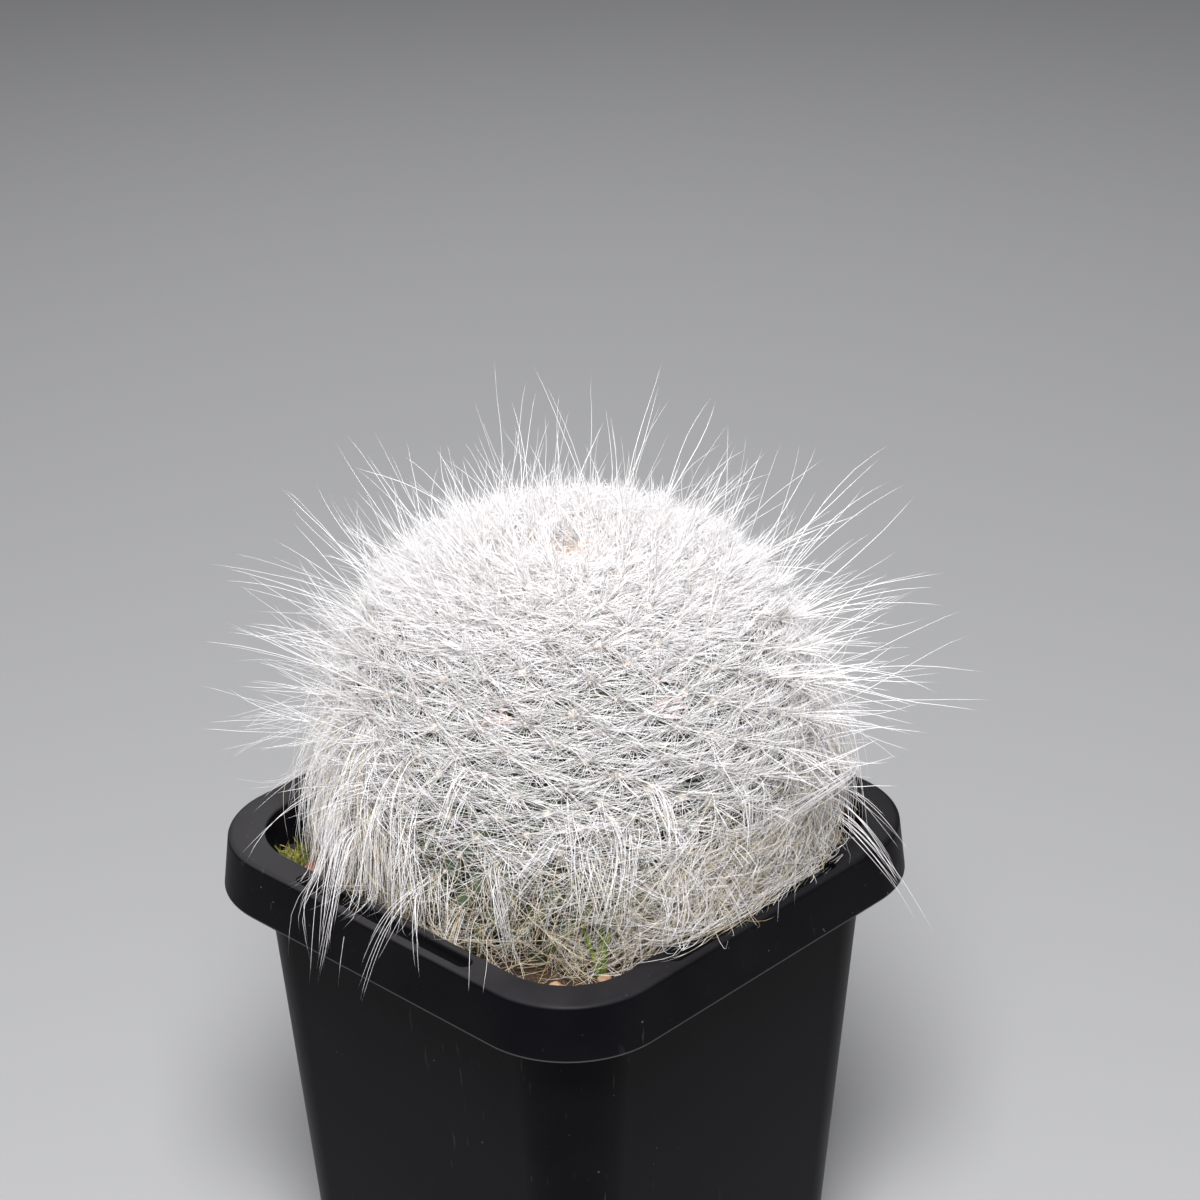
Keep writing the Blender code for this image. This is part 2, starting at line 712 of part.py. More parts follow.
    def plan_spines(self, cells):
        """Short spines out of the other sectors, low over the skin and standing at the crown."""
        for sector in range(1, SPINES_PER_AREOLE):
            for number, cell in enumerate(cells):
                foot, out = self.sector_base(cell, sector)
                normal = cell["normal"]
                side = np.cross(normal, out)
                radius = math.hypot(cell["base"][0] - PLANT_X, cell["base"][1] - PLANT_Y)
                crown = max(0.0, 1 - radius / CROWN_RADIUS)
                lengths = CROWN_SPINE_LENGTH if crown > 0 else SPINE_LENGTH

                def draw(attempt):
                    lift = self.rng.uniform(*SPINE_LIFT) + crown * CROWN_LIFT
                    swing = self.rng.uniform(-SPINE_SWING, SPINE_SWING)
                    length = self.rng.uniform(*lengths) * (1 - SHORTENING * attempt / TRIES)
                    flat = out * math.cos(swing) + side * math.sin(swing)
                    return [foot, foot + length * (flat * math.cos(lift) + normal * math.sin(lift))]

                self.try_path(cell, sector, number, draw)

    def raise_cell(self, cell):
        """Mesh one tubercle: valley ring, areole and the spines that rise from its sectors."""
        base, normal = cell["base"], cell["normal"]
        along, across = cell["along"], cell["across"]
        ring = []
        for step in range(SPINES_PER_AREOLE):
            turn = 2 * math.pi * step / SPINES_PER_AREOLE
            out = along * math.cos(turn) + across * math.sin(turn)
            ring.append((turn, self.point(base + out * AREOLE_RADIUS)))
        outer = []
        for place, number in zip(cell["valleys"], cell["numbers"]):
            flat = np.array(place) - base
            turn = math.atan2(flat @ across, flat @ along) % (2 * math.pi)
            outer.append((turn, number))
        self.zip_rings(ring, sorted(outer))
        top = self.point(base + normal * AREOLE_DOME)
        for step in range(SPINES_PER_AREOLE):
            corners = (top, ring[step][1], ring[(step + 1) % SPINES_PER_AREOLE][1])
            self.raise_shaft(corners, cell["paths"][step])

    def zip_rings(self, inner, outer):
        """Triangles between two rings, each sorted by its angle, taking the nearer step first."""
        total_in, total_out = len(inner), len(outer)
        full = 2 * math.pi
        offset = min(
            range(total_out),
            key=lambda n: abs((outer[n][0] - inner[0][0] + math.pi) % full - math.pi),
        )
        outer = outer[offset:] + outer[:offset]
        start = inner[0][0]
        turn_in = [(turn - start) % full for turn, _ in inner] + [full]
        first_out = (outer[0][0] - start + math.pi) % full - math.pi
        turn_out = [first_out + (turn - outer[0][0]) % full for turn, _ in outer] + [first_out + full]
        i = o = 0
        while i < total_in or o < total_out:
            step_in = o == total_out or (
                i < total_in and turn_in[i + 1] + turn_in[i] < turn_out[o + 1] + turn_out[o]
            )
            a, b = inner[i % total_in][1], outer[o % total_out][1]
            if step_in:
                i += 1
                self.faces.append((a, b, inner[i % total_in][1]))
            else:
                o += 1
                self.faces.append((a, b, outer[o % total_out][1]))

    def raise_shaft(self, corners, path):
        """Three-sided shaft on a triangle, along a path to a point; a bare triangle if none."""
        if path is None:
            self.faces.append(corners)
            return
        last = list(corners)
        places = np.array([self.points[corner] for corner in corners])
        spokes = places - places.mean(axis=0)
        steps = len(path) - 1
        for number in range(1, steps):
            direction = unit(unit(path[number] - path[number - 1]) + unit(path[number + 1] - path[number]))
            flat = spokes - np.outer(spokes @ direction, direction)
            first = unit(flat[0])
            second = np.cross(direction, first)
            radius = SPINE_THICKNESS * (1 - number / steps)
            ring = []
            for side in range(3):
                turn = side * 2 * math.pi / 3
                out = first * math.cos(turn) + second * math.sin(turn)
                ring.append(self.point(path[number] + radius * out))
            for side in range(3):
                a, b = last[side], last[(side + 1) % 3]
                c, d = ring[side], ring[(side + 1) % 3]
                self.faces.append((a, b, d))
                self.faces.append((a, d, c))
            last = ring
        tip = self.point(path[-1])
        for side in range(3):
            self.faces.append((last[side], last[(side + 1) % 3], tip))

    def root(self):
        """Close the body below the mix's surface, down to the root's tip."""
        above = self.ring
        rows = ground_rings(0.0)[1:]
        for radius, height in rows:
            below = [self.point(place) for place in plant_ring(radius, height)]
            for step in range(MIX_STEPS):
                following = (step + 1) % MIX_STEPS
                self.faces.append((below[step], below[following], above[following], above[step]))
            above = below
        tip = self.point((PLANT_X, PLANT_Y, rows[-1][1]))
        for step in range(MIX_STEPS):
            self.faces.append((tip, above[(step + 1) % MIX_STEPS], above[step]))


def make_cactus(parts, chips, material):
    """The cactus as one grown piece."""
    body = CactusMesh(BodyProfile(), Shafts(chips))
    body.build()
    cactus = new_object("cactus", body.points, body.faces, parts, material)
    return cactus


def main():
    """Build the pot, what fills it and the plant."""
    clear_scene()
    parts = new_collection("potted_old_lady_cactus")
    cutters = new_collection("cutters")
    plastic = new_material("black plastic", (0.009, 0.009, 0.011), 0.42)
    mix_brown = new_material("potting mix", (0.045, 0.028, 0.018), 0.95)
    stone = new_material("grit", (0.42, 0.27, 0.2), 0.8)
    skin = new_material("white spined skin", (0.66, 0.64, 0.6), 0.6)
    make_pot(parts, cutters, plastic)
    mix = make_mix(parts, mix_brown)
    chips = make_chips(parts, mix, stone)
    make_cactus(parts, chips, skin)


main()
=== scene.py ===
"""Looks of a potted old lady cactus: white spines, long bristles and a dusty black growers' pot.

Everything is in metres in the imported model's own frame, with the pot standing on z = 0.
"""

import logging
import math
from collections.abc import Callable, Sequence
from dataclasses import dataclass, replace
from enum import Enum
from typing import Any

import bmesh
import bpy
import numpy as np
from mathutils import Matrix, Vector


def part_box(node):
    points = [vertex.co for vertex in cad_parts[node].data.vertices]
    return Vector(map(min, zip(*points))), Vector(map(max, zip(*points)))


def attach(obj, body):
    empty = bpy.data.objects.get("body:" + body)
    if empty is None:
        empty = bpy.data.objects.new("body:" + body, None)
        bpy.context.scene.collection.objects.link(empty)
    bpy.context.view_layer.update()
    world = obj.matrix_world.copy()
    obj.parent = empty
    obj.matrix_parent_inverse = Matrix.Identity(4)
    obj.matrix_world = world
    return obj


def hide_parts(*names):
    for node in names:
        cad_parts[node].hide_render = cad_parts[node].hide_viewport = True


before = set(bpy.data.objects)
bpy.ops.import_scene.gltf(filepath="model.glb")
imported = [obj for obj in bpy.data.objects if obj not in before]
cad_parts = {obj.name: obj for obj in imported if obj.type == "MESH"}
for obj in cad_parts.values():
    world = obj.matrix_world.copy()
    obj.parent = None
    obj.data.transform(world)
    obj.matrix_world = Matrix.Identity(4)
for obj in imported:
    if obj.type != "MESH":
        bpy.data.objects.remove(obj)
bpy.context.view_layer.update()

MM = 0.001
GOLDEN_TURN = math.radians(137.508)
STEEP = 0.7
TAPER = 0.82
TAPER_POWER = 2.2
LOG = logging.getLogger("old_lady_cactus")
Array = np.ndarray
Colour = tuple[float, float, float]


# Shader tools


class Socket:
    """An output of a shader node that takes part in arithmetic."""

    def __init__(self, graph: "Graph", link: Any) -> None:
        """Keep the graph and the node's output."""
        self.graph = graph
        self.link = link

    def _math(self, operation: str, first: Any, second: Any) -> "Socket":
        """Add one Math node."""
        return self.graph.node("ShaderNodeMath", {"operation": operation}, {0: first, 1: second})

    def __add__(self, other: Any) -> "Socket":
        """Sum."""
        return self._math("ADD", self, other)

    def __radd__(self, other: Any) -> "Socket":
        """Sum with a number on the left."""
        return self._math("ADD", other, self)

    def __sub__(self, other: Any) -> "Socket":
        """Difference."""
        return self._math("SUBTRACT", self, other)

    def __rsub__(self, other: Any) -> "Socket":
        """Difference with a number on the left."""
        return self._math("SUBTRACT", other, self)

    def __mul__(self, other: Any) -> "Socket":
        """Product."""
        return self._math("MULTIPLY", self, other)

    def __rmul__(self, other: Any) -> "Socket":
        """Product with a number on the left."""
        return self._math("MULTIPLY", other, self)

    def above(self, edge: float, soft: float) -> "Socket":
        """A mask that rises from 0 to 1 across an edge.

        Args:
            edge: Value at the middle of the rise.
            soft: Width of the rise.

        Returns:
            The mask.
        """
        settings = {"interpolation_type": "SMOOTHSTEP", "clamp": True}
        values = {"Value": self, "From Min": edge - soft / 2, "From Max": edge + soft / 2}
        return self.graph.node("ShaderNodeMapRange", settings, values)


class Graph:
    """One material's nodes round its Principled shader."""

    def __init__(self, name: str) -> None:
        """Start a material of that name."""
        self.material = bpy.data.materials.new(name)
        self.material.use_nodes = True
        self.tree = self.material.node_tree
        self.shader = self.tree.nodes["Principled BSDF"]

    def node(self, kind: str, settings: dict[str, Any], values: dict[Any, Any], out: Any = 0) -> Socket:
        """Make a node.

        Args:
            kind: The node's type.
            settings: Its properties, set first; "stops" fills a colour ramp.
            values: Values or links of its inputs, by name or number.
            out: Name or number of the output that is given back.

        Returns:
            The chosen output.
        """
        made = self.tree.nodes.new(kind)
        stops = settings.get("stops", ())
        for name, value in settings.items():
            if name != "stops":
                setattr(made, name, value)
        for number, (place, colour) in enumerate(stops):
            ramp = made.color_ramp.elements
            stop = ramp[number] if number < len(ramp) else ramp.new(place)
            stop.position = place
            stop.color = (*colour, 1.0)
        for name, value in values.items():
            self.plug(made.inputs[name], value)
        return Socket(self, made.outputs[out])

    def plug(self, target: Any, value: Any) -> None:
        """Link or set one input."""
        if isinstance(value, Socket):
            self.tree.links.new(value.link, target)
        elif isinstance(value, tuple) and len(value) == 3 and target.type == "RGBA":
            target.default_value = (*value, 1.0)
        else:
            target.default_value = value

    def place(self, scale: Sequence[float] = (1.0, 1.0, 1.0)) -> Socket:
        """Object coordinates, stretched by a scale."""
        plain = self.node("ShaderNodeTexCoord", {}, {}, "Object")
        return self.node("ShaderNodeMapping", {}, {"Vector": plain, "Scale": tuple(scale)})

    def axis(self, letter: str = "Z") -> Socket:
        """One of the object's own coordinates."""
        plain = self.node("ShaderNodeTexCoord", {}, {}, "Object")
        return self.node("ShaderNodeSeparateXYZ", {}, {0: plain}, letter)

    def noise(self, size: float, detail: float = 3.0, rough: float = 0.55,
              stretch: Sequence[float] = (1.0, 1.0, 1.0)) -> Socket:
        """Cloudy noise with blotches of a size in metres."""
        values = {"Vector": self.place(stretch), "Scale": 1 / size, "Detail": detail, "Roughness": rough}
        return self.node("ShaderNodeTexNoise", {}, values)

    def cells(self, size: float) -> Socket:
        """Distance to the middle of Voronoi cells of a size in metres."""
        values = {"Vector": self.place(), "Scale": 1 / size}
        return self.node("ShaderNodeTexVoronoi", {}, values, "Distance")

    def mix(self, share: Any, first: Any, second: Any) -> Socket:
        """Blend two colours by a share."""
        made = self.tree.nodes.new("ShaderNodeMix")
        made.data_type = "RGBA"
        for name, value in (("Factor_Float", share), ("A_Color", first), ("B_Color", second)):
            target = next(s for s in made.inputs if s.identifier == name)
            self.plug(target, value)
        return Socket(self, next(s for s in made.outputs if s.identifier == "Result_Color"))

    def bump(self, height: Socket, depth: float, strength: float = 1.0) -> Socket:
        """A bump of a depth in metres."""
        return self.node("ShaderNodeBump", {}, {"Height": height, "Distance": depth, "Strength": strength})

    def dress(self, **values: Any) -> bpy.types.Material:
        """Set the shader's inputs, named with underscores for spaces.

        Args:
            values: A value or link for each input.

        Returns:
            The finished material.
        """
        for name, value in values.items():
            self.plug(self.shader.inputs[name.replace("_", " ")], value)
        return self.material


# Finishes


@dataclass(frozen=True)
class PlasticFinish:
    """Black moulded polypropylene with dust, scuffs, painted sheen on the lip and a painted highlight line
    at the skirt's foot.
    """

    black: Colour = (0.0024, 0.0024, 0.0036)
    # Real dust-film grey, which the lip's mask also uses to paint the lip's sheen.
    haze: Colour = (0.030, 0.0285, 0.0305)
    # Real dust colour, which also paints the highlight line along the skirt's foot.
    dust: Colour = (0.22, 0.20, 0.195)
    gloss: float = 0.34

    def make(self, rim: float, skirt_foot: float) -> bpy.types.Material:
        """Build the material.

        Args:
            rim: Height of the lip.
            skirt_foot: Height of the skirt's lower edge.

        Returns:
            The plastic.
        """
        g = Graph("black_plastic")
        cloud = g.noise(22 * MM, 4.0)
        film = g.noise(3.0 * MM, 5.0, 0.7)
        z = g.axis()
        # Painted light: a mask that makes the lip's painted sheen stronger on the side of the pot where y
        # is more than x.
        lit_side = (g.axis("Y") - g.axis("X")).above(0.0, 90 * MM)
        lip = z.above(rim - 0.35 * MM, 0.5 * MM)
        over_foot = z.above(skirt_foot - 0.1 * MM, 0.1 * MM)
        # Painted highlight: a thin band just above the skirt's foot, painted in the dust colour.
        foot_highlight = over_foot * (1 - z.above(skirt_foot + 0.32 * MM, 0.2 * MM))
        specks = (1 - g.cells(3.4 * MM).above(0.05, 0.03)) * cloud.above(0.5, 0.16)
        fine = (1 - g.cells(0.9 * MM).above(0.13, 0.06)) * film.above(0.62, 0.1)
        streak = g.noise(1.1 * MM, 2.0, 0.6, (1.0, 1.0, 0.09)).above(0.69, 0.05) * cloud.above(0.55, 0.1)
        # Painted reflection of the lamps mixed with real dust haze: the lip's top is made lighter, more so
        # on one side.
        lip_dust_and_sheen = lip * (cloud * 1.2 + 0.15) * (lit_side * 1.3 + 0.35)
        haze_and_sheen_mix = g.mix(cloud.above(0.52, 0.5) * 0.10 + lip_dust_and_sheen, self.black, self.haze)
        marked_and_foot_lit = g.mix(streak * 0.10 + foot_highlight * 0.25, haze_and_sheen_mix, self.dust)
        # Fine dust is real; the lip's larger share of it also helps paint the lip's sheen.
        dusty = g.mix(specks * 0.45 + fine * (0.10 + lip * 0.25), marked_and_foot_lit, self.dust)
        rough = self.gloss + cloud * 0.16 + specks * 0.3 + lip * 0.04
        grain = g.noise(0.35 * MM, 2.0) + film * 0.6
        return g.dress(Base_Color=dusty, Roughness=rough, Normal=g.bump(grain, 0.02 * MM, 0.5),
                       Specular_IOR_Level=0.05)


@dataclass(frozen=True)
class SkinFinish:
    """Grey-green cactus skin with painted shade by relief, darkest in the furrows and lightest at the
    tubercle tips, and covered with wool at the crown.
    """

    # furrow is painted shade for the furrows' depths; tip is painted light on the tubercle tips.
    furrow: Colour = (0.014, 0.022, 0.010)
    green: Colour = (0.055, 0.085, 0.036)
    tip: Colour = (0.10, 0.135, 0.07)
    wool: Colour = (0.66, 0.62, 0.58)

    def make(self, woolly: float) -> bpy.types.Material:
        """Build the material; it reads the piece's own relief attribute.

        Args:
            woolly: Height over which the crown is covered with wool.

        Returns:
            The skin.
        """
        g = Graph("cactus_skin")
        relief = g.node("ShaderNodeAttribute", {"attribute_name": "relief"}, {}, "Fac")
        mottle = g.noise(2.2 * MM, 4.0)
        # Painted shade and light: the colour runs with relief from the furrows' painted shade to the
        # lighter tubercle tips.
        stops = ((0.0, self.furrow), (0.55, self.green), (1.0, self.tip))
        base = g.node("ShaderNodeValToRGB", {"stops": stops}, {0: relief + (mottle - 0.5) * 0.35})
        pores = g.cells(0.45 * MM)
        crown = (g.axis() + (mottle - 0.5) * 3 * MM).above(woolly, 8 * MM)
        covered = g.mix(crown * 0.85, base, self.wool)
        return g.dress(Base_Color=covered, Roughness=0.42 + mottle * 0.25,
                       Normal=g.bump(pores + mottle, 0.06 * MM, 0.6), Specular_IOR_Level=0.4)


@dataclass(frozen=True)
class HairFinish:
    """Strand whose colour runs from root to tip and drifts from tuft to tuft."""

    name: str
    root: Colour
    tip: Colour
    roughness: float = 0.38
    glow: float = 0.25

    def make(self) -> bpy.types.Material:
        """Build the material; it reads the piece's own attribute of the way along each strand."""
        g = Graph(self.name)
        share = g.node("ShaderNodeAttribute", {"attribute_name": "share"}, {}, "Fac")
        drift = g.noise(3.5 * MM, 2.0)
        body = g.mix(share * 0.8 + (drift - 0.5) * 0.6, self.root, self.tip)
        return g.dress(Base_Color=body, Roughness=self.roughness + drift * 0.12, Specular_IOR_Level=0.45,
                       Sheen_Weight=self.glow, Sheen_Roughness=0.4)


@dataclass(frozen=True)
class WoolFinish:
    """Cream wool of the areoles."""

    pale: Colour = (0.84, 0.78, 0.70)
    warm: Colour = (0.66, 0.50, 0.38)

    def make(self) -> bpy.types.Material:
        """Build the material."""
        g = Graph("areole_wool")
        tuft = g.noise(0.5 * MM, 4.0, 0.7)
        patch = g.noise(9 * MM, 2.0)
        base = g.mix(tuft.above(0.55, 0.3) * 0.5 + patch.above(0.6, 0.2) * 0.4, self.pale, self.warm)
        return g.dress(Base_Color=base, Roughness=0.95, Normal=g.bump(tuft, 0.25 * MM), Sheen_Weight=0.4)


@dataclass(frozen=True)
class MixFinish:
    """Dark, fibrous potting mix."""

    dark: Colour = (0.012, 0.007, 0.005)
    brown: Colour = (0.075, 0.040, 0.020)
    straw: Colour = (0.22, 0.14, 0.06)

    def make(self) -> bpy.types.Material:
        """Build the material."""
        g = Graph("potting_mix")
        crumb = g.noise(1.0 * MM, 5.0, 0.7)
        lumps = g.cells(1.6 * MM)
        fleck = g.noise(0.8 * MM, 2.0, 0.5, (1.0, 0.25, 1.0)).above(0.66, 0.05)
        base = g.mix(crumb.above(0.5, 0.35), self.dark, self.brown)
        flecked = g.mix(fleck * 0.55, base, self.straw)
        return g.dress(Base_Color=flecked, Roughness=0.75 + crumb * 0.25,
                       Normal=g.bump(crumb + lumps * 0.7, 0.5 * MM))


@dataclass(frozen=True)
class StoneFinish:
    """Grit chips: pinkish tan with paler and redder patches."""

    tan: Colour = (0.40, 0.27, 0.18)
    red: Colour = (0.26, 0.085, 0.05)
    pale: Colour = (0.62, 0.52, 0.42)

    def make(self) -> bpy.types.Material:
        """Build the material."""
        g = Graph("grit_stone")
        patch = g.noise(7 * MM, 3.0)
        grain = g.noise(0.6 * MM, 5.0, 0.7)
        base = g.mix(patch.above(0.55, 0.12), self.tan, self.red)
        spotted = g.mix(grain.above(0.6, 0.12) * 0.6, base, self.pale)
        return g.dress(Base_Color=spotted, Roughness=0.6 + grain * 0.35,
                       Normal=g.bump(grain, 0.15 * MM), Specular_IOR_Level=0.35)


@dataclass(frozen=True)
class MossFinish:
    """Yellow-green moss leaves."""

    name: str = "moss"
    green: Colour = (0.07, 0.10, 0.012)
    yellow: Colour = (0.26, 0.24, 0.045)

    def make(self) -> bpy.types.Material:
        """Build the material."""
        g = Graph(self.name)
        base = g.mix(g.noise(1.6 * MM, 3.0).above(0.5, 0.25), self.green, self.yellow)
        return g.dress(Base_Color=base, Roughness=0.55)


@dataclass(frozen=True)
class PetalFinish:
    """Dried flower: faded pink paper."""

    pink: Colour = (0.62, 0.42, 0.40)
    faded: Colour = (0.74, 0.64, 0.60)

    def make(self) -> bpy.types.Material:
        """Build the material."""
        g = Graph("dried_petals")
        base = g.mix(g.noise(1.2 * MM, 4.0).above(0.5, 0.3), self.pink, self.faded)
        return g.dress(Base_Color=base, Roughness=0.7, Normal=g.bump(g.noise(0.4 * MM), 0.1 * MM))


@dataclass(frozen=True)
class FloorFinish:
    """Pale studio paper."""

    pale: Colour = (0.40, 0.40, 0.41)

    def make(self) -> bpy.types.Material:
        """Build the material."""
        g = Graph("studio_paper")
        tooth = g.noise(1.5 * MM, 3.0)
        return g.dress(Base_Color=self.pale, Roughness=0.9, Normal=g.bump(tooth, 0.02 * MM))


WHITE = HairFinish("hair_white", (0.91, 0.885, 0.89), (0.96, 0.94, 0.97))
# SILVER and CREAM are greyer and creamier hairs, made darker still as painted shade for the shadowed lower
# fur.
SILVER = HairFinish("hair_silver", (0.66, 0.63, 0.59), (0.80, 0.78, 0.78))
CREAM = HairFinish("hair_cream", (0.62, 0.52, 0.37), (0.82, 0.75, 0.64))
STRAW = HairFinish("hair_straw", (0.38, 0.26, 0.11), (0.60, 0.47, 0.26), 0.5, 0.1)
TAN = HairFinish("hair_tan", (0.72, 0.55, 0.42), (0.58, 0.36, 0.26), 0.45, 0.1)


# Mesh tools


def unit(vectors: Array) -> Array:
    """Vectors of length one."""
    return vectors / np.maximum(np.linalg.norm(vectors, axis=-1, keepdims=True), 1e-12)


def turns(count: int) -> Array:
    """Evenly spaced turns of a circle, in radians."""
    return np.arange(count) * 2 * math.pi / count


def level(turn: Array) -> Array:
    """Level directions at turns round the upright axis."""
    return np.stack([np.cos(turn), np.sin(turn), np.zeros_like(turn)], axis=-1)


def mesh_object(name: str, points: Array, quads: Array, triangles: Array, smooth: bool = True) -> Any:
    """Put whole arrays into one mesh object.

    Args:
        name: The piece's name.
        points: Vertices, n by 3.
        quads: Four-cornered faces, m by 4.
        triangles: Three-cornered faces, k by 3.
        smooth: Whether the faces are shaded smooth.

    Returns:
        The object, linked to the scene.
    """
    mesh = bpy.data.meshes.new(name)
    quads = np.asarray(quads, dtype=np.int32).reshape(-1, 4)
    triangles = np.asarray(triangles, dtype=np.int32).reshape(-1, 3)
    loops = np.concatenate([quads.ravel(), triangles.ravel()])
    starts = np.concatenate([np.arange(len(quads)) * 4, len(quads) * 4 + np.arange(len(triangles)) * 3])
    mesh.vertices.add(len(points))
    mesh.vertices.foreach_set("co", np.asarray(points, dtype=np.float32).ravel())
    mesh.loops.add(len(loops))
    mesh.loops.foreach_set("vertex_index", loops)
    mesh.polygons.add(len(starts))
    mesh.polygons.foreach_set("loop_start", starts.astype(np.int32))
    mesh.update(calc_edges=True)
    mesh.validate()
    mesh.polygons.foreach_set("use_smooth", np.full(len(mesh.polygons), smooth))
    made = bpy.data.objects.new(name, mesh)
    bpy.context.scene.collection.objects.link(made)
    return made


def ring_faces(rings: int, around: int) -> Array:
    """Quads of a closed band of rings, facing outwards when the rings run anticlockwise and up."""
    row = np.arange(rings - 1)[:, None] * around
    step = np.arange(around)[None, :]
    following = (step + 1) % around
    return np.stack([row + step, row + following, row + around + following, row + around + step], axis=-1)


def strands(name: str, paths: Array, radii: Array, sides: int = 3) -> Any:
    """Closed hair tubes: rings carried along each path, from a capped root to a point.

    The attribute "share" runs from 0 at a strand's root to 1 at its tip.

    Args:
        name: The piece's name.
        paths: Points of each strand, n by k by 3.
        radii: Radius at each strand's root, n.
        sides: Corners of a ring.

    Returns:
        The object.
    """
    count, steps, _ = paths.shape
    rings = steps - 1
    along = unit(np.gradient(paths, axis=1))
    chord = unit(paths[:, -1] - paths[:, 0])
    aside = np.where(np.abs(chord[:, 2:3]) > STEEP, [[1.0, 0.0, 0.0]], [[0.0, 0.0, 1.0]])
    first = unit(np.cross(along, aside[:, None, :]))
    second = np.cross(along, first)
    turn = turns(sides)
    share = np.linspace(0.0, 1.0, steps)[:-1]
    thick = radii[:, None] * (1 - share**TAPER_POWER * TAPER)[None, :]
    spokes = (
        first[:, :-1, None, :] * np.cos(turn)[None, None, :, None]
        + second[:, :-1, None, :] * np.sin(turn)[None, None, :, None]
    )
    tubes = paths[:, :-1, None, :] + spokes * thick[:, :, None, None]
    points = np.concatenate([tubes.reshape(count, rings * sides, 3), paths[:, -1:, :]], axis=1)
    stride = rings * sides + 1
    offset = (np.arange(count) * stride)[:, None, None, None]
    quads = ring_faces(rings, sides)[None] + offset
    last = (rings - 1) * sides + np.arange(sides)
    following = (rings - 1) * sides + (np.arange(sides) + 1) % sides
    tip = np.full(sides, rings * sides)
    ends = np.stack([last, following, tip], axis=-1)[None] + offset[:, :, 0]
    fan = np.stack([np.zeros(sides - 2, dtype=int), np.arange(2, sides), np.arange(1, sides - 1)], axis=-1)
    caps = fan[None] + offset[:, :, 0]
    triangles = np.concatenate([ends.reshape(-1, 3), caps.reshape(-1, 3)])
    made = mesh_object(name, points.reshape(-1, 3), quads.reshape(-1, 4), triangles)
    values = np.tile(np.append(np.repeat(share, sides), 1.0), count).astype(np.float32)
    made.data.attributes.new("share", "FLOAT", "POINT").data.foreach_set("value", values)
    return made


def lathe(name: str, points: Array) -> Any:
    """A closed skin from a grid of rings, first ring lowest, with a point at each pole.

    Args:
        name: The piece's name.
        points: Rings by steps by 3.

    Returns:
        The object.
    """
    rings, around, _ = points.shape
    poles = np.stack([points[0].mean(axis=0), points[-1].mean(axis=0)])
    step = np.arange(around)
    following = (step + 1) % around
    low = np.stack([np.full(around, rings * around), following, step], axis=-1)
    top = (rings - 1) * around
    high = np.stack([np.full(around, rings * around + 1), top + step, top + following], axis=-1)
    everything = np.concatenate([points.reshape(-1, 3), poles])
    return mesh_object(name, everything, ring_faces(rings, around), np.concatenate([low, high]))


def lumps(points: Array, size: float, seed: int) -> Array:
    """Smooth random heights between -1 and 1: a sum of eight sine waves in chance directions.

    Args:
        points: Places, any shape by 3.
        size: Wavelength in metres.
        seed: Seed of the waves.

    Returns:
        One height for each place.
    """
    rng = np.random.default_rng(seed)
    waves = unit(rng.normal(size=(8, 3))) * (2 * math.pi / size) * rng.uniform(0.6, 1.6, (8, 1))
    phase = rng.uniform(0, 2 * math.pi, 8)
    return np.sin(points @ waves.T + phase).sum(axis=-1) / 3.2


# Shapes that the pieces share


@dataclass
class PotShape:
    """Sizes of the square pot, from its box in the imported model."""

    lip_width: float = 5.7 * MM
    rim_radius: float = 17.0 * MM
    mouth_radius: float = 12.9 * MM
    skirt_depth: float = 9.7 * MM
    flare: float = 1.0 * MM
    skirt_wall: float = 1.0 * MM
    lip_thickness: float = 1.2 * MM
    wall: float = 0.9 * MM
    foot_half: float = 32.5 * MM
    foot_radius: float = 8.0 * MM
    floor: float = 1.4 * MM

    def __post_init__(self) -> None:
        """Read the outer size."""
        low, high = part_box("pot")
        self.height = high.z
        self.half = (high.x - low.x) / 2 - self.flare
        self.mouth = self.half - self.lip_width
        self.skirt_foot = self.height - self.skirt_depth

    @staticmethod
    def reach(points: Array, half: float, radius: float) -> Array:
        """Signed distance of points to a round-cornered square, negative inside."""
        corner = np.abs(points[..., :2]) - (half - radius)
        outside = np.linalg.norm(np.maximum(corner, 0.0), axis=-1)
        return outside + np.minimum(corner.max(axis=-1), 0.0) - radius

    @staticmethod
    def ring(half: float, radius: float, height: float, corner_steps: int, half_y: float = 0.0) -> Array:
        """A round-cornered rectangle: four quarter turns moved out to the corners."""
        half_y = half_y or half
        turn = (np.arange(4)[:, None] + np.linspace(0, 1, corner_steps + 1)[None, :]) * math.pi / 2
        side = np.array([[1, 1], [-1, 1], [-1, -1], [1, -1]])
        x = side[:, :1] * (half - radius) + radius * np.cos(turn)
        y = side[:, 1:] * (half_y - radius) + radius * np.sin(turn)
        return np.stack([x.ravel(), y.ravel(), np.full(x.size, height)], axis=-1)


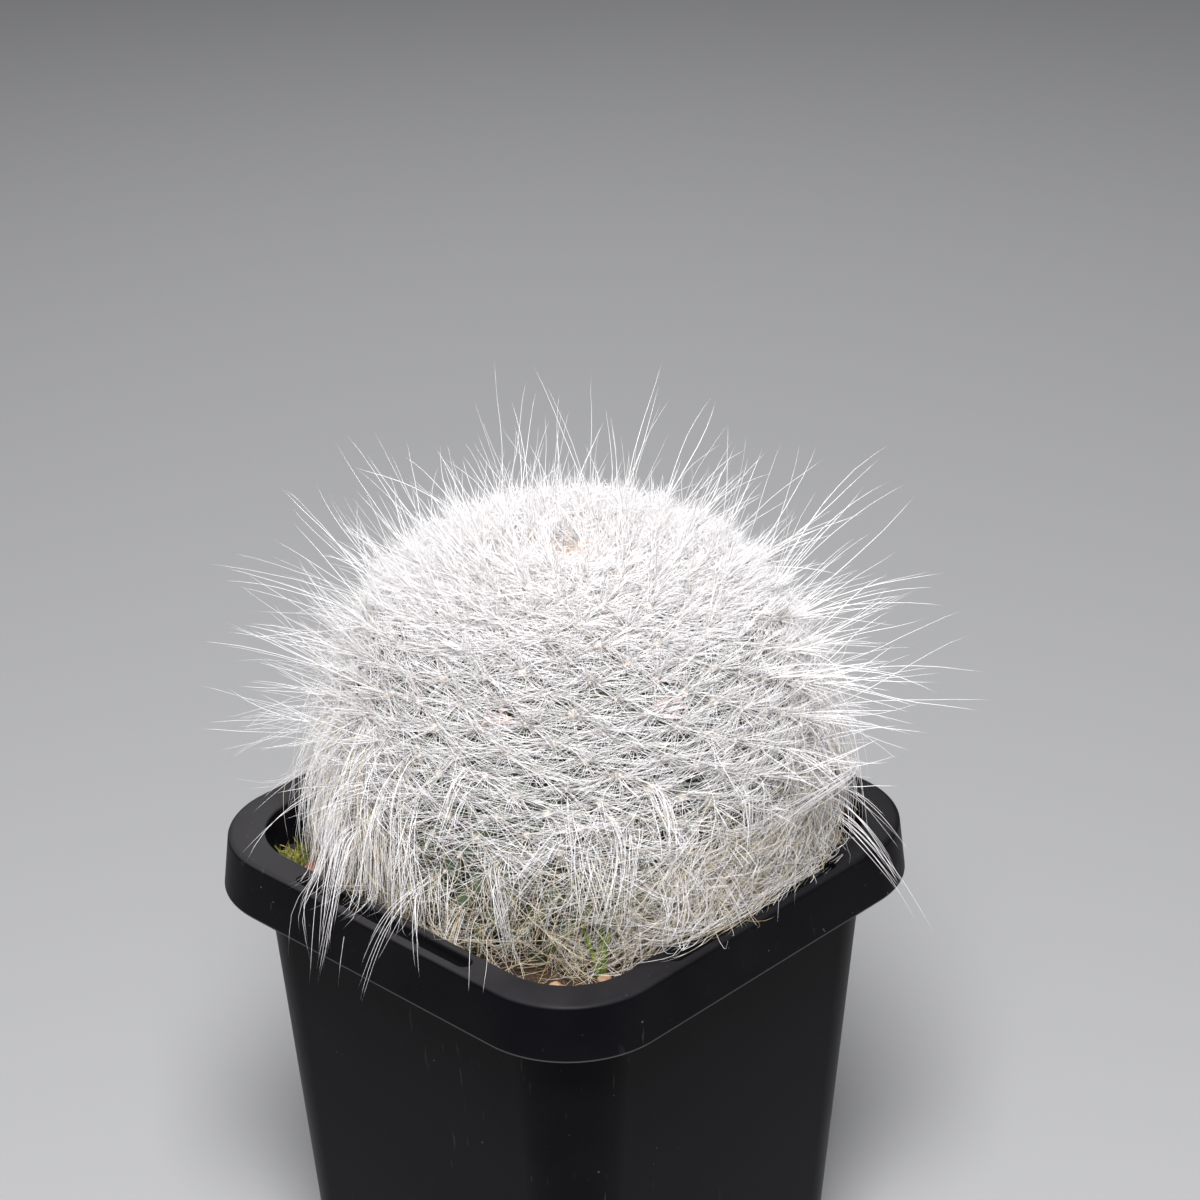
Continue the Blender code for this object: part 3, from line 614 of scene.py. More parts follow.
@dataclass
class BodyShape:
    """The plant's body: a surface of revolution through its tubercle tips, and its areoles."""

    pot: PotShape
    x: float = 1.6 * MM
    y: float = -1.6 * MM
    radius: float = 38.5 * MM
    rise: float = 36.0 * MM
    fall: float = 43.0 * MM
    middle_above_rim: float = 17.0 * MM
    power: float = 2.3
    dip: float = 2.6 * MM
    dip_radius: float = 9.0 * MM
    tubercle: float = 3.4 * MM
    spacing: float = 5.8 * MM
    mix_below_rim: float = 7.5 * MM

    def __post_init__(self) -> None:
        """Work out the meridian and the area above each of its points."""
        self.middle = self.pot.height + self.middle_above_rim
        self.mix_top = self.pot.height - self.mix_below_rim
        share = np.linspace(0.0, 1.0, 1200)
        rise = self.middle + self.rise * np.cos(share * math.pi / 2)
        fall = np.linspace(self.middle, self.mix_top - 5 * MM, 900)[1:]
        height = np.concatenate([rise, fall])
        radius = self.girth(height)
        radius[0] = 0.0
        height = height - self.dip * np.exp(-((radius / self.dip_radius) ** 2))
        step = np.hypot(np.diff(radius), np.diff(height))
        self.line = np.stack([radius, height], axis=1)
        self.length = np.concatenate([[0.0], np.cumsum(step)])
        band = math.pi * (radius[1:] + radius[:-1]) * step
        self.area = np.concatenate([[0.0], np.cumsum(band)])
        along = unit(np.stack([np.gradient(radius), np.gradient(height)], axis=1))
        self.out = np.stack([-along[:, 1], along[:, 0]], axis=1)

    def girth(self, height: Array) -> Array:
        """Radius at a height: a rounded-box curve, flatter at the crown than a circle."""
        reach = np.where(height > self.middle, self.rise, self.fall)
        share = np.minimum(np.abs(height - self.middle) / reach, 1.0)
        return self.radius * (1 - share**self.power) ** (1 / self.power)

    def skin(self, length: Array, turn: Array, sunk: Array | float = 0.0) -> tuple[Array, Array]:
        """Points and outward normals at lengths down the meridian and turns round the axis."""
        r, z, nr, nz = (
            np.interp(length, self.length, row)
            for row in (self.line[:, 0], self.line[:, 1], self.out[:, 0], self.out[:, 1])
        )
        outward = level(turn)
        up = np.array([0.0, 0.0, 1.0])
        normal = unit(outward * nr[..., None] + up * nz[..., None])
        axis = np.array([self.x, self.y, 0.0])
        sunk = np.broadcast_to(np.asarray(sunk), r.shape)[..., None]
        return axis + outward * r[..., None] + up * z[..., None] - normal * sunk, normal

    def relief(self, points: Array) -> Array:
        """How far places at the tips' level stand over the furrows: 1 at an areole, 0 between them."""
        tips, _ = self.areoles(self.mix_top - 3 * MM)
        flat = points.reshape(-1, 3)
        nearest = np.full(len(flat), np.inf)
        for block in np.array_split(np.arange(len(flat)), 24):
            far = np.linalg.norm(flat[block, None, :] - tips[None, :, :], axis=-1)
            nearest[block] = far.min(axis=1)
        share = np.clip(nearest / (0.58 * self.spacing), 0, 1)
        return (1 - share**1.35).reshape(points.shape[:-1])

    def bearing(self, points: Array) -> Array:
        """Turn of each point round the plant's axis."""
        return np.arctan2(points[:, 1] - self.y, points[:, 0] - self.x)

    def below(self, height: Array, top: float, depth: float) -> Array:
        """A share that grows from 0 at a height over the rim to 1 at a depth under that height."""
        return np.clip((self.pot.height + top - height) / depth, 0.0, 1.0)

    @staticmethod
    def round_way(turn: Array) -> Array:
        """Level directions round the body at each turn, the way that its fur is combed."""
        return np.stack([np.sin(turn), -np.cos(turn), 0 * turn], axis=-1)

    def rooted(self, height: Array, turn: Array) -> tuple[Array, Array]:
        """Points of the real skin, down in the furrows too, at heights and turns, and their normals."""
        points, normal = self.skin(np.interp(-height, -self.line[:, 1], self.length), turn)
        return points - normal * (self.tubercle * (1 - self.relief(points)))[..., None], normal

    def beside(self, bearing: Array | float, above: Array | float, away: Array | float) -> Array:
        """Places at a bearing in degrees, a height above the rim and a distance out from the body."""
        height = self.pot.height + above
        reach = self.girth(height) + away
        turn = np.radians(bearing)
        return np.stack([self.x + reach * np.cos(turn), self.y + reach * np.sin(turn), height], axis=-1)

    def areoles(self, lowest: float) -> tuple[Array, Array]:
        """Areoles on a golden-angle spiral of even area, down to a height: points and normals."""
        cell = self.spacing**2 * math.sqrt(3) / 2
        total = np.interp(-lowest, -self.line[:, 1], self.area)
        number = np.arange(int(total / cell))
        length = np.interp((number + 0.6) * cell, self.area, self.length)
        return self.skin(length, number * GOLDEN_TURN)

    def clear(self, points: Array, gap: Array | float, far: Array | float = math.inf) -> Array:
        """Move points along lines from the body's middle, to between a gap and a reach over the tips."""
        centre = np.array([self.x, self.y, self.middle])
        flat = points - centre
        out = np.hypot(flat[..., 0], flat[..., 1])
        reach = np.where(flat[..., 2] > 0, self.rise, self.fall)
        sum_of_powers = (out / self.radius) ** self.power + (np.abs(flat[..., 2]) / reach) ** self.power
        depth = np.maximum(sum_of_powers, 1e-6) ** (1 / self.power)
        wanted = np.clip(depth, 1 + gap / self.radius, 1 + far / self.radius)
        crown = (out < self.dip_radius) & (flat[..., 2] > 0)
        scale = np.where(crown, 1.0, wanted / depth)
        return centre + flat * scale[..., None]


class Side(Enum):
    """Where hair may go at the rim."""

    INSIDE = "inside"
    OVER = "over"


@dataclass
class Keeper:
    """Keeps growing hair out of the body, the mix and the pot."""

    body: BodyShape
    side: Side = Side.INSIDE
    gap: Array | float = 0.3 * MM
    far: Array | float = math.inf

    def __call__(self, points: Array, lift: Array | float) -> Array:
        """Move each point to the nearest free place.

        Args:
            points: Places, n by 3.
            lift: Least distance over the tubercle tips.

        Returns:
            The places, moved where they had to be.
        """
        pot = self.body.pot
        points = self.body.clear(points, lift, self.far)
        inner = pot.reach(points, pot.mouth, pot.mouth_radius) + self.gap
        low = points[:, 2] < pot.height + self.gap
        outward = unit(points[:, :2])
        sunk = np.maximum(pot.height + self.gap - points[:, 2], 0.0)
        if self.side is Side.INSIDE:
            back = np.where(low & (inner > 0) & (inner < 4 * MM), inner, 0.0)
            points[:, :2] -= outward * back[:, None]
            over = low & (inner >= 4 * MM)
        else:
            outer = pot.reach(points, pot.half + pot.flare, pot.rim_radius + pot.flare)
            over = low & (inner > 0) & (outer < 0)
            points[:, :2] += outward * np.where(over, 1.2 * sunk, 0.0)[:, None]
        points[:, 2] = np.where(over, np.maximum(points[:, 2], pot.height + self.gap), points[:, 2])
        within = pot.reach(points, pot.mouth, pot.mouth_radius) < 0
        floor = np.where(within, self.body.mix_top + self.gap, self.gap)
        points[:, 2] = np.maximum(points[:, 2], floor)
        return points


@dataclass(frozen=True)
class Habit:
    """How hairs turn as they grow.

    Attributes:
        steps: Steps of each hair.
        sag: How far it turns down over its length.
        wander: How much it turns by chance at a step.
        curl: How far an arc turns over its length, in radians.
    """

    steps: int
    sag: Array | float
    wander: float
    curl: float = 0.0


def grow(base: Array, heading: Array, length: Array, habit: Habit, rng: np.random.Generator,
         keep: Callable[[Array, Any], Array] | None = None, lift: Array | float = 0.0,
         pull: Array | None = None) -> Array:
    """Grow hairs step by step: each turns down, round an axis of its own and a little by chance.

    Args:
        base: Roots, n by 3.
        heading: First directions, n by 3.
        length: Lengths, n.
        habit: How they turn.
        rng: Source of chance.
        keep: Moves points to a free place.
        lift: Distance that the keeper holds over the body.
        pull: Direction each hair is drawn to, n by 3.

    Returns:
        Paths, n by steps + 1 by 3.
    """
    steps = habit.steps
    place, way = base.copy(), unit(heading)
    axis = rng.normal(size=base.shape) * habit.curl / steps
    bend = rng.normal(size=base.shape) * habit.wander
    rows = [place]
    down = np.array([0.0, 0.0, -1.0]) * np.asarray(habit.sag).reshape(-1, 1)
    for step in range(steps):
        bend = 0.6 * bend + rng.normal(size=base.shape) * habit.wander * 0.6
        way = way + down / steps * (1 + step / steps) + np.cross(axis, way) + bend
        if pull is not None:
            way = way + pull / steps
        way = unit(way)
        place = place + way * (length / steps)[:, None]
        if keep is not None and step > 0:
            place = keep(place.copy(), lift)
        rows.append(place)
    return np.stack(rows, axis=1)


def eased(paths: Array, rounds: int = 1) -> Array:
    """Round the kinks of paths: each inner point moves halfway to the middle of its neighbours."""
    for _ in range(rounds):
        inner = 0.5 * paths[:, 1:-1] + 0.25 * (paths[:, :-2] + paths[:, 2:])
        paths = np.concatenate([paths[:, :1], inner, paths[:, -1:]], axis=1)
    return paths


def frames(normal: Array) -> tuple[Array, Array]:
    """Two directions in the skin at each normal: up the body, and round it."""
    up = np.array([0.0, 0.0, 1.0]) + np.array([1e-3, 0.0, 0.0])
    first = unit(up - normal * (normal @ up)[:, None])
    return first, np.cross(normal, first)


# Sub-assemblies


class Piece:
    """Common finishing of a new piece."""

    @staticmethod
    def finish(made: Any, material: bpy.types.Material, slot: str, *nodes: str) -> Any:
        """Give a piece its material and body, and hide the nodes that it stands for."""
        made.data.materials.clear()
        made.data.materials.append(material)
        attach(made, "root")
        if nodes:
            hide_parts(*nodes)
        made.data.calc_loop_triangles()
        LOG.info("%s: %d triangles", made.name, len(made.data.loop_triangles))
        return made

    def share_out(self, name: str, paths: Array, radii: Array, tint: Array,
                  finishes: Sequence[tuple[HairFinish, float]]) -> None:
        """Share strands among finishes: each takes the tints below its limit that are left.

        Args:
            name: Start of the pieces' names.
            paths: The strands.
            radii: Their radii.
            tint: A number for each strand.
            finishes: Each finish and its upper limit, in rising order.
        """
        low = -math.inf
        for number, (finish, limit) in enumerate(finishes, 1):
            chosen = (tint >= low) & (tint < limit)
            low = limit
            if chosen.any():
                made = strands(f"{name}_{number}", paths[chosen], radii[chosen])
                self.finish(made, finish.make(), "cactus")


@dataclass
class Pot(Piece):
    """The square pot with smooth corners, rounded lip, long slots and drain holes."""

    shape: PotShape
    corner_steps: int = 28
    slot_length: float = 40.0 * MM
    slot_width: float = 3.0 * MM
    slot_middle: float = 42.1 * MM
    slot_rounding: float = 0.98
    slot_steps: int = 6
    drain_radius: float = 3.5 * MM
    drain_sides: int = 32
    drains_out: tuple[float, float] = (21.0 * MM, 24.4 * MM)
    cut_beyond: float = 1.0 * MM
    edge: float = 1.0 * MM
    mouth_edge: float = 0.3 * MM
    chamfer: float = 0.15 * MM

    def outline(self) -> Array:
        """Half width, corner radius and height of each ring, up the outside and down the inside."""
        s = self.shape
        under = s.height - s.lip_thickness
        rows = [
            (s.foot_half - 0.8 * MM, s.foot_radius - 0.8 * MM, 0.0),
            (s.foot_half - 0.2 * MM, s.foot_radius - 0.2 * MM, 0.2 * MM),
            (s.foot_half, s.foot_radius, 0.8 * MM),
            (s.mouth + s.wall, s.mouth_radius + s.wall, under),
            (s.half - s.skirt_wall, s.rim_radius - s.skirt_wall, under),
        ]
        foot = s.half + s.flare
        skirt_edge = (
            (s.skirt_wall, self.chamfer),
            (s.skirt_wall * 0.8, 0.0),
            (self.chamfer * 0.8, 0.0),
            (0.0, self.chamfer),
        )
        for inset, rise in skirt_edge:
            rows.append((foot - inset, s.rim_radius + s.flare - inset, s.skirt_foot + rise))
        for turn in np.linspace(0, math.pi / 2, 7):
            inset = self.edge * (1 - math.cos(turn))
            drop = self.edge * (1 - math.sin(turn))
            rows.append((s.half - inset, s.rim_radius - inset, s.height - drop))
        for turn in np.linspace(0, math.pi / 2, 4):
            inset = self.mouth_edge * math.sin(turn)
            drop = self.mouth_edge * (1 - math.cos(turn))
            outer = self.mouth_edge - inset
            rows.append((s.mouth + outer, s.mouth_radius + outer, s.height - drop))
        rows.append((s.foot_half - s.wall, s.foot_radius - s.wall, s.floor))
        return np.array(rows)

    def cutters(self) -> list[Any]:
        """Solids for the four slots and eight drain holes."""
        s = self.shape
        made = []
        for number in range(4):
            turn = number * math.pi / 2
            half = self.slot_width / 2
            size = (half, half * self.slot_rounding)
            heights = (s.height - s.lip_thickness - self.cut_beyond, s.height + self.cut_beyond)
            points = np.stack([s.ring(*size, z, self.slot_steps, self.slot_length / 2) for z in heights])
            points[..., 0] += self.slot_middle
            made.append(self.turned(lathe(f"slot_{number}", points), turn))
        angle = (np.arange(self.drain_sides) + 0.37) * 2 * math.pi / self.drain_sides
        for number in range(8):
            out = self.drains_out[number % 2]
            circle = level(angle) * self.drain_radius
            heights = (-self.cut_beyond, s.floor + self.cut_beyond)
            points = np.stack([circle + [out, 0, z] for z in heights])
            made.append(self.turned(lathe(f"drain_{number}", points), number * math.pi / 4))
        return made

    @staticmethod
    def turned(made: Any, turn: float) -> Any:
        """Turn a cutter's mesh round the pot's axis."""
        made.data.transform(Matrix.Rotation(turn, 4, "Z"))
        return made

    def build(self) -> None:
        """Loft the rings, cut the openings and dress the pot."""
        rings = np.stack([self.shape.ring(h, r, z, self.corner_steps) for h, r, z in self.outline()])
        pot = lathe("pot_body", rings)
        for cutter in self.cutters():
            cut = pot.modifiers.new(cutter.name, "BOOLEAN")
            cut.object = cutter
            cut.operation = "DIFFERENCE"
            self.apply(pot, cut)
            bpy.data.objects.remove(cutter, do_unlink=True)
        self.mend(pot)
        pot.data.shade_smooth()
        pot.data.set_sharp_from_angle(angle=math.radians(35))
        material = PlasticFinish().make(self.shape.height, self.shape.skirt_foot)
        self.finish(pot, material, "pot_plastic", "pot")

    @staticmethod
    def mend(made: Any) -> None:
        """Merge doubles and dissolve the slivers that the cuts leave."""
        mesh = bmesh.new()
        mesh.from_mesh(made.data)
        bmesh.ops.remove_doubles(mesh, verts=mesh.verts, dist=0.002 * MM)
        bmesh.ops.dissolve_degenerate(mesh, edges=mesh.edges, dist=0.005 * MM)
        mesh.to_mesh(made.data)
        mesh.free()

    @staticmethod
    def apply(made: Any, modifier: Any) -> None:
        """Apply one modifier."""
        with bpy.context.temp_override(object=made, active_object=made, selected_objects=[made]):
            bpy.ops.object.modifier_apply(modifier=modifier.name)


@dataclass
class PottingMix(Piece):
    """Crumbly mix in the pot, with crumbs and dry fibres on it."""

    body: BodyShape
    around: int = 240
    bands: int = 26
    crumbs: int = 900
    fibres: int = 170
    hole: float = 12.0 * MM
    beside_plant: float = 31.0 * MM
    halvings: int = 30
    seed: int = 21

    def surface(self, points: Array) -> Array:
        """Height of the crumbly top: long lumps with crumbs on them."""
        coarse = 0.6 * MM * lumps(points, 16 * MM, 3)
        fine = 0.35 * MM * lumps(points, 2.6 * MM, 4) + 0.2 * MM * lumps(points, 1.3 * MM, 5)
        return self.body.mix_top + coarse + fine

    def wall_ring(self, height: float) -> Array:
        """The mix's outer edge inside the pot wall, found along each direction by halving."""
        pot = self.body.pot
        share = height / pot.height
        half = pot.foot_half - pot.wall + share * (pot.mouth - pot.foot_half + pot.wall) - 0.3 * MM
        radius = pot.foot_radius + share * (pot.mouth_radius - pot.foot_radius) - 0.3 * MM
        turn = turns(self.around)
        way = np.stack([np.cos(turn), np.sin(turn)], axis=-1)
        near, far = np.zeros(self.around), np.full(self.around, 2 * half)
        for _ in range(self.halvings):
            middle = (near + far) / 2
            inside = pot.reach(way * middle[:, None], half, radius) < 0
            near, far = np.where(inside, middle, near), np.where(inside, far, middle)
        return np.concatenate([way * near[:, None], np.full((self.around, 1), height)], axis=1)

    def build(self) -> None:
        """Make the mix, its crumbs and its fibres."""
        rng = np.random.default_rng(self.seed)
        top = self.body.mix_top
        outer = self.wall_ring(top)
        turn = turns(self.around)
        axis = np.array([self.body.x, self.body.y, top])
        inner = axis + level(turn) * self.hole
        share = np.linspace(1, 0, self.bands)[:, None, None]
        rings = inner + share * (outer - inner)
        rings[..., 2] = self.surface(rings)
        points = np.concatenate([self.wall_ring(1.8 * MM)[None], self.wall_ring(top * 0.6)[None], rings])
        mix = lathe("potting_mix_surface", points)
        self.finish(mix, MixFinish().make(), "potting_mix", "potting_mix")
        self.add_crumbs(rng)
        self.add_fibres(rng)

    def spots(self, count: int, rng: np.random.Generator) -> Array:
        """Chance places on the mix between the plant and the pot wall."""
        pot = self.body.pot
        places = rng.uniform(-pot.mouth, pot.mouth, (count * 12, 3))
        places[:, 2] = self.body.mix_top
        inside = pot.reach(places, pot.mouth, pot.mouth_radius) < -1.2 * MM
        away = np.hypot(places[:, 0] - self.body.x, places[:, 1] - self.body.y) > self.beside_plant
        places = places[inside & away][:count]
        places[:, 2] = self.surface(places)
        return places

    def add_crumbs(self, rng: np.random.Generator) -> None:
        """Small lumps of mix: octahedra with pushed corners."""
        places = self.spots(self.crumbs, rng)
        count = len(places)
        axes = np.eye(3)[[0, 0, 1, 1, 2, 2]]
        corners = axes * np.array([1, -1, 1, -1, 1, -1])[:, None]
        upper = np.array([[0, 2, 4], [2, 1, 4], [1, 3, 4], [3, 0, 4]])
        lower = upper[:, [1, 0, 2]] + [0, 0, 1]
        faces = np.concatenate([upper, lower])
        size = rng.uniform(0.25, 1.0, (count, 1, 1)) ** 1.6 * 1.3 * MM
        shape = corners[None] * size * rng.uniform(0.6, 1.2, (count, 6, 1))
        shape = shape + rng.normal(0, 0.12, (count, 6, 3)) * size
        points = places[:, None, :] + shape
        triangles = faces[None] + (np.arange(count) * 6)[:, None, None]
        made = mesh_object("mix_crumbs", points.reshape(-1, 3), [], triangles.reshape(-1, 3), False)
        self.finish(made, MixFinish(brown=(0.13, 0.075, 0.04)).make(), "potting_mix")

    def add_fibres(self, rng: np.random.Generator) -> None:
        """Straw-coloured fibres lying across the mix."""
        places = self.spots(self.fibres, rng) + [0, 0, 0.5 * MM]
        turn = rng.uniform(0, 2 * math.pi, len(places))
        heading = np.stack([np.cos(turn), np.sin(turn), rng.uniform(-0.1, 0.5, len(places))], axis=-1)
        length = rng.uniform(4 * MM, 11 * MM, len(places))
        paths = grow(places, heading, length, Habit(7, 0.5, 0.12), rng, Keeper(self.body), 0.2 * MM)
        made = strands("mix_fibres", paths, np.full(len(places), 0.12 * MM))
        self.finish(made, STRAW.make(), "potting_mix")


@dataclass
class Grit(Piece):
    """Rounded grit chips, one over each stone of the model."""

    around: int = 26
    rings: int = 16
    boxiness: float = 3.2
    snug: float = 0.93

    def build(self) -> None:
        """Replace each chip with a worn stone of the same place and size."""
        material = StoneFinish().make()
        names = sorted(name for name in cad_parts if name.startswith("grit_chip"))
        for number, name in enumerate(names):
            low, high = (np.array(corner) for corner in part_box(name))
            self.stone(name, (low + high) / 2, (high - low) / 2, number, material)

    def stone(self, name: str, centre: Array, half: Array, seed: int, material: Any) -> None:
        """A worn chip: a boxy ball with flats and small pits."""
        rise = np.linspace(-1, 1, self.rings + 2)[1:-1] * math.pi / 2
        turn = turns(self.around)
        way = np.stack([
            np.cos(rise)[:, None] * np.cos(turn)[None, :],
            np.cos(rise)[:, None] * np.sin(turn)[None, :],
            np.broadcast_to(np.sin(rise)[:, None], (self.rings, self.around)),
        ], axis=-1)
        boxy = way / (np.abs(way) ** self.boxiness).sum(axis=-1, keepdims=True) ** (1 / self.boxiness)
        rough = 1 + 0.10 * lumps(way, 1.6, seed + 40) + 0.035 * lumps(way, 0.5, seed + 80)
        points = boxy * np.minimum(rough, 1.08)[..., None] * self.snug
        made = lathe(f"worn_{name}", centre + points * half)
        self.finish(made, material, "grit", name)


@dataclass
class CactusSkin(Piece):
    """The body under the spines: conical tubercles on the golden spiral."""

    body: BodyShape
    around: int = 400
    rings: int = 170

    def build(self) -> None:
        """Raise the tubercles on the meridian's grid and dress them."""
        body = self.body
        length = np.linspace(body.length[-1], 0.6 * MM, self.rings)
        turn = turns(self.around)
        grid_length, grid_turn = np.meshgrid(length, turn, indexing="ij")
        points, normal = body.skin(grid_length, grid_turn)
        relief = body.relief(points)
        sunk = body.tubercle * (1 - relief)
        skin = lathe("cactus_skin", points - normal * sunk[..., None])
        values = np.concatenate([relief.ravel(), [0.0, 1.0]]).astype(np.float32)
        attribute = skin.data.attributes.new("relief", "FLOAT", "POINT")
        attribute.data.foreach_set("value", values)
        self.finish(skin, SkinFinish().make(body.middle + 0.8 * body.rise), "cactus", "cactus")


@dataclass
class Wool(Piece):
    """Cream tufts where the spines spring from."""

    body: BodyShape
    radius: float = 0.85 * MM
    around: int = 8
    rises: tuple[float, ...] = (0.0, 0.5, 0.85)
    worn_depth: float = 24.0 * MM
    seed: int = 5

    def build(self) -> None:
        """One low, uneven dome on each areole, smaller low down, where the wool has worn off."""
        rng = np.random.default_rng(self.seed)
        base, normal = self.body.areoles(self.body.mix_top + 1.5 * MM)
        up, side = frames(normal)
        turn = turns(self.around)
        rise = np.array(self.rises) * math.pi / 2
        worn = np.clip((base[:, 2] - self.body.pot.height) / self.worn_depth, 0.35, 1.0)
        size = (rng.uniform(0.75, 1.2, len(base)) * worn)[:, None, None, None] * self.radius
        reach = np.cos(rise)[None, :, None, None] * size
        lift = (np.sin(rise)[None, :, None, None] * 1.3 - 0.2) * size
        way = (up[:, None, None] * np.cos(turn)[None, None, :, None]
               + side[:, None, None] * np.sin(turn)[None, None, :, None])
        points = base[:, None, None] + way * reach + normal[:, None, None] * lift
        points += rng.normal(0, 0.05 * MM, points.shape)
        top = base + normal * (1.15 * size[:, 0, 0])
        low = base - normal * (0.3 * size[:, 0, 0])
        count, rings = len(base), len(rise)
        whole = rings * self.around
        block = np.concatenate([points.reshape(count, whole, 3), top[:, None], low[:, None]], axis=1)
        offset = (np.arange(count) * (whole + 2))[:, None, None]
        quads = ring_faces(rings, self.around).reshape(1, -1, 4) + offset
        step = np.arange(self.around)
        following = (step + 1) % self.around
        last = whole - self.around
        cap = np.stack([np.full(self.around, whole), last + step, last + following], axis=-1)
        foot = np.stack([np.full(self.around, whole + 1), following, step], axis=-1)
        faces = np.concatenate([cap, foot])[None] + offset
        made = mesh_object("areole_wool", block.reshape(-1, 3), quads.reshape(-1, 4), faces.reshape(-1, 3))
        self.finish(made, WoolFinish().make(), "cactus")


def clumped(guide: Array, spread: Array, count: int, rng: np.random.Generator) -> Array:
    """Strands that start apart, run together and fan a little at the tip.

    Args:
        guide: The middle line of each lock.
        spread: How far apart its strands start.
        count: Strands of each lock.
        rng: Source of chance.

    Returns:
        The strands' paths.
    """
    share = np.linspace(0, 1, guide.shape[1])
    tight = 0.14 + 0.86 * (1 - share) ** 1.2 + 0.35 * share**3
    offset = rng.normal(0, 1, (len(guide), count, 1, 3)) * spread[:, None, None, None]
    fan = rng.normal(0, 0.8 * MM, (len(guide), count, 1, 3)) * (share**2)[None, None, :, None]
    bow = rng.normal(0, 0.7 * MM, (len(guide), count, 1, 3)) * np.sin(share * math.pi)[None, None, :, None]
    paths = guide[:, None] + offset * tight[None, None, :, None] + fan + bow
    stretch = rng.uniform(0.55, 1.05, (len(guide), count, 1, 1))
    along = np.linspace(0, 1, guide.shape[1])[None, None, :, None] * stretch * (guide.shape[1] - 1)
    low = np.minimum(along.astype(int), guide.shape[1] - 2)
    start = np.take_along_axis(paths, np.broadcast_to(low, paths.shape), axis=2)
    end = np.take_along_axis(paths, np.broadcast_to(low + 1, paths.shape), axis=2)
    cut = start + (end - start) * (along - low)
    return cut.reshape(-1, guide.shape[1], 3)


@dataclass
class RadialSpines(Piece):
    """Short spines in a star round each areole, lying over the skin, most of them sideways."""

    body: BodyShape
    spines: int = 42
    radius: float = 0.052 * MM
    lift: tuple[float, float] = (1.0, 18.0)
    length: tuple[float, float] = (6.5 * MM, 13.0 * MM)
    sideways: float = 0.46
    habit: Habit = Habit(4, 0.10, 0.03, 0.4)
    worn_top: float = 36.0 * MM
    worn_depth: float = 30.0 * MM
    worn_away: float = 0.9
    worn_thin: float = 0.28
    warm_top: float = 22.0 * MM
    warm_depth: float = 20.0 * MM
    seed: int = 8

    def build(self) -> None:
        """Grow the stars, fewer, finer and warmer low down, and share them among the tints."""
        rng = np.random.default_rng(self.seed)
        base, normal = self.body.areoles(self.body.mix_top + 2 * MM)
        up, side = frames(normal)
        LOG.info("areoles: %d", len(base))
        shape = (len(base), self.spines)
        turn = (np.arange(self.spines)[None, :] + rng.uniform(-0.5, 0.5, shape)) * 2 * math.pi / self.spines
        turn = turn + self.sideways * np.sin(2 * turn)
        lift = np.radians(rng.uniform(*self.lift, shape))
        flat = up[:, None] * np.cos(turn)[..., None] + side[:, None] * np.sin(turn)[..., None]
        heading = flat * np.cos(lift)[..., None] + normal[:, None] * np.sin(lift)[..., None]
        apart = rng.uniform(0.3 * MM, 1.1 * MM, shape)[..., None]
        root = base[:, None] + flat * apart - normal[:, None] * 0.1 * MM
        length = rng.uniform(*self.length, shape) * (0.45 + 0.6 * np.abs(np.sin(turn)))
        crown = np.clip((root[..., 2] - self.body.middle) / self.body.rise, 0, 1)
        length *= 1 - 0.35 * crown**2
        high = rng.uniform(0.1, 1.0, length.size) ** 1.5 * MM
        keep = Keeper(self.body, far=1.0 * MM + 2.4 * high)
        root = root.reshape(-1, 3)
        paths = grow(root, heading.reshape(-1, 3), length.ravel(), self.habit, rng, keep, high)
        worn = self.body.below(root[:, 2], self.worn_top, self.worn_depth)
        radii = self.radius * rng.uniform(0.75, 1.25, len(paths)) * (1 - self.worn_thin * worn)
        warm = self.body.below(root[:, 2], self.warm_top, self.warm_depth)
        tint = rng.uniform(0, 1, len(paths)) + 0.75 * warm
        kept = rng.uniform(0, 1, len(paths)) > self.worn_away * worn
        self.share_out("radial_spines", paths[kept], radii[kept], tint[kept],
                       ((WHITE, 0.38), (WHITE, 0.76), (SILVER, 1.08), (CREAM, 1.6), (STRAW, 2.0)))


@dataclass
class Web(Piece):
    """Long fine hairs that lie across the stars, most of them round the body, and soften them."""

    body: BodyShape
    hairs: int = 9500
    lowest: float = 14.0 * MM
    sparse_top: float = 8.0 * MM
    full_over: float = 26.0 * MM
    length: tuple[float, float] = (7.0 * MM, 15.0 * MM)
    radius: tuple[float, float] = (0.042 * MM, 0.068 * MM)
    habit: Habit = Habit(5, 0.2, 0.05, 0.45)
    seed: int = 10

    def build(self) -> None:
        """Grow the hairs sideways from the areoles above the tangle."""
        rng = np.random.default_rng(self.seed)
        rim = self.body.pot.height
        base, normal = self.body.areoles(rim + self.lowest)
        weight = np.clip((base[:, 2] - rim - self.sparse_top) / self.full_over, 0.1, 1.0)
        pick = rng.choice(len(base), self.hairs, p=weight / weight.sum())
        root, out = base[pick], normal[pick]
        up, side = frames(out)
        way = np.sign(rng.normal(size=(self.hairs, 1)))
        slope = rng.normal(0.04, 0.21, (self.hairs, 1))
        heading = side * way + up * slope + out * rng.uniform(0.1, 0.5, (self.hairs, 1))
        root = root + rng.normal(0, 0.5 * MM, root.shape)
        length = rng.uniform(*self.length, self.hairs) * (1 - 0.35 * np.clip(out[:, 2], 0, 1))
        high = rng.uniform(0.3 * MM, 2.8 * MM, self.hairs)
        keep = Keeper(self.body, far=high + 1.4 * MM)
        paths = grow(root, heading, length, self.habit, rng, keep, high)
        radii = rng.uniform(*self.radius, self.hairs)
        tint = rng.uniform(0, 1, self.hairs)
        self.share_out("web", paths, radii, tint, ((WHITE, 0.7), (SILVER, 2.0)))


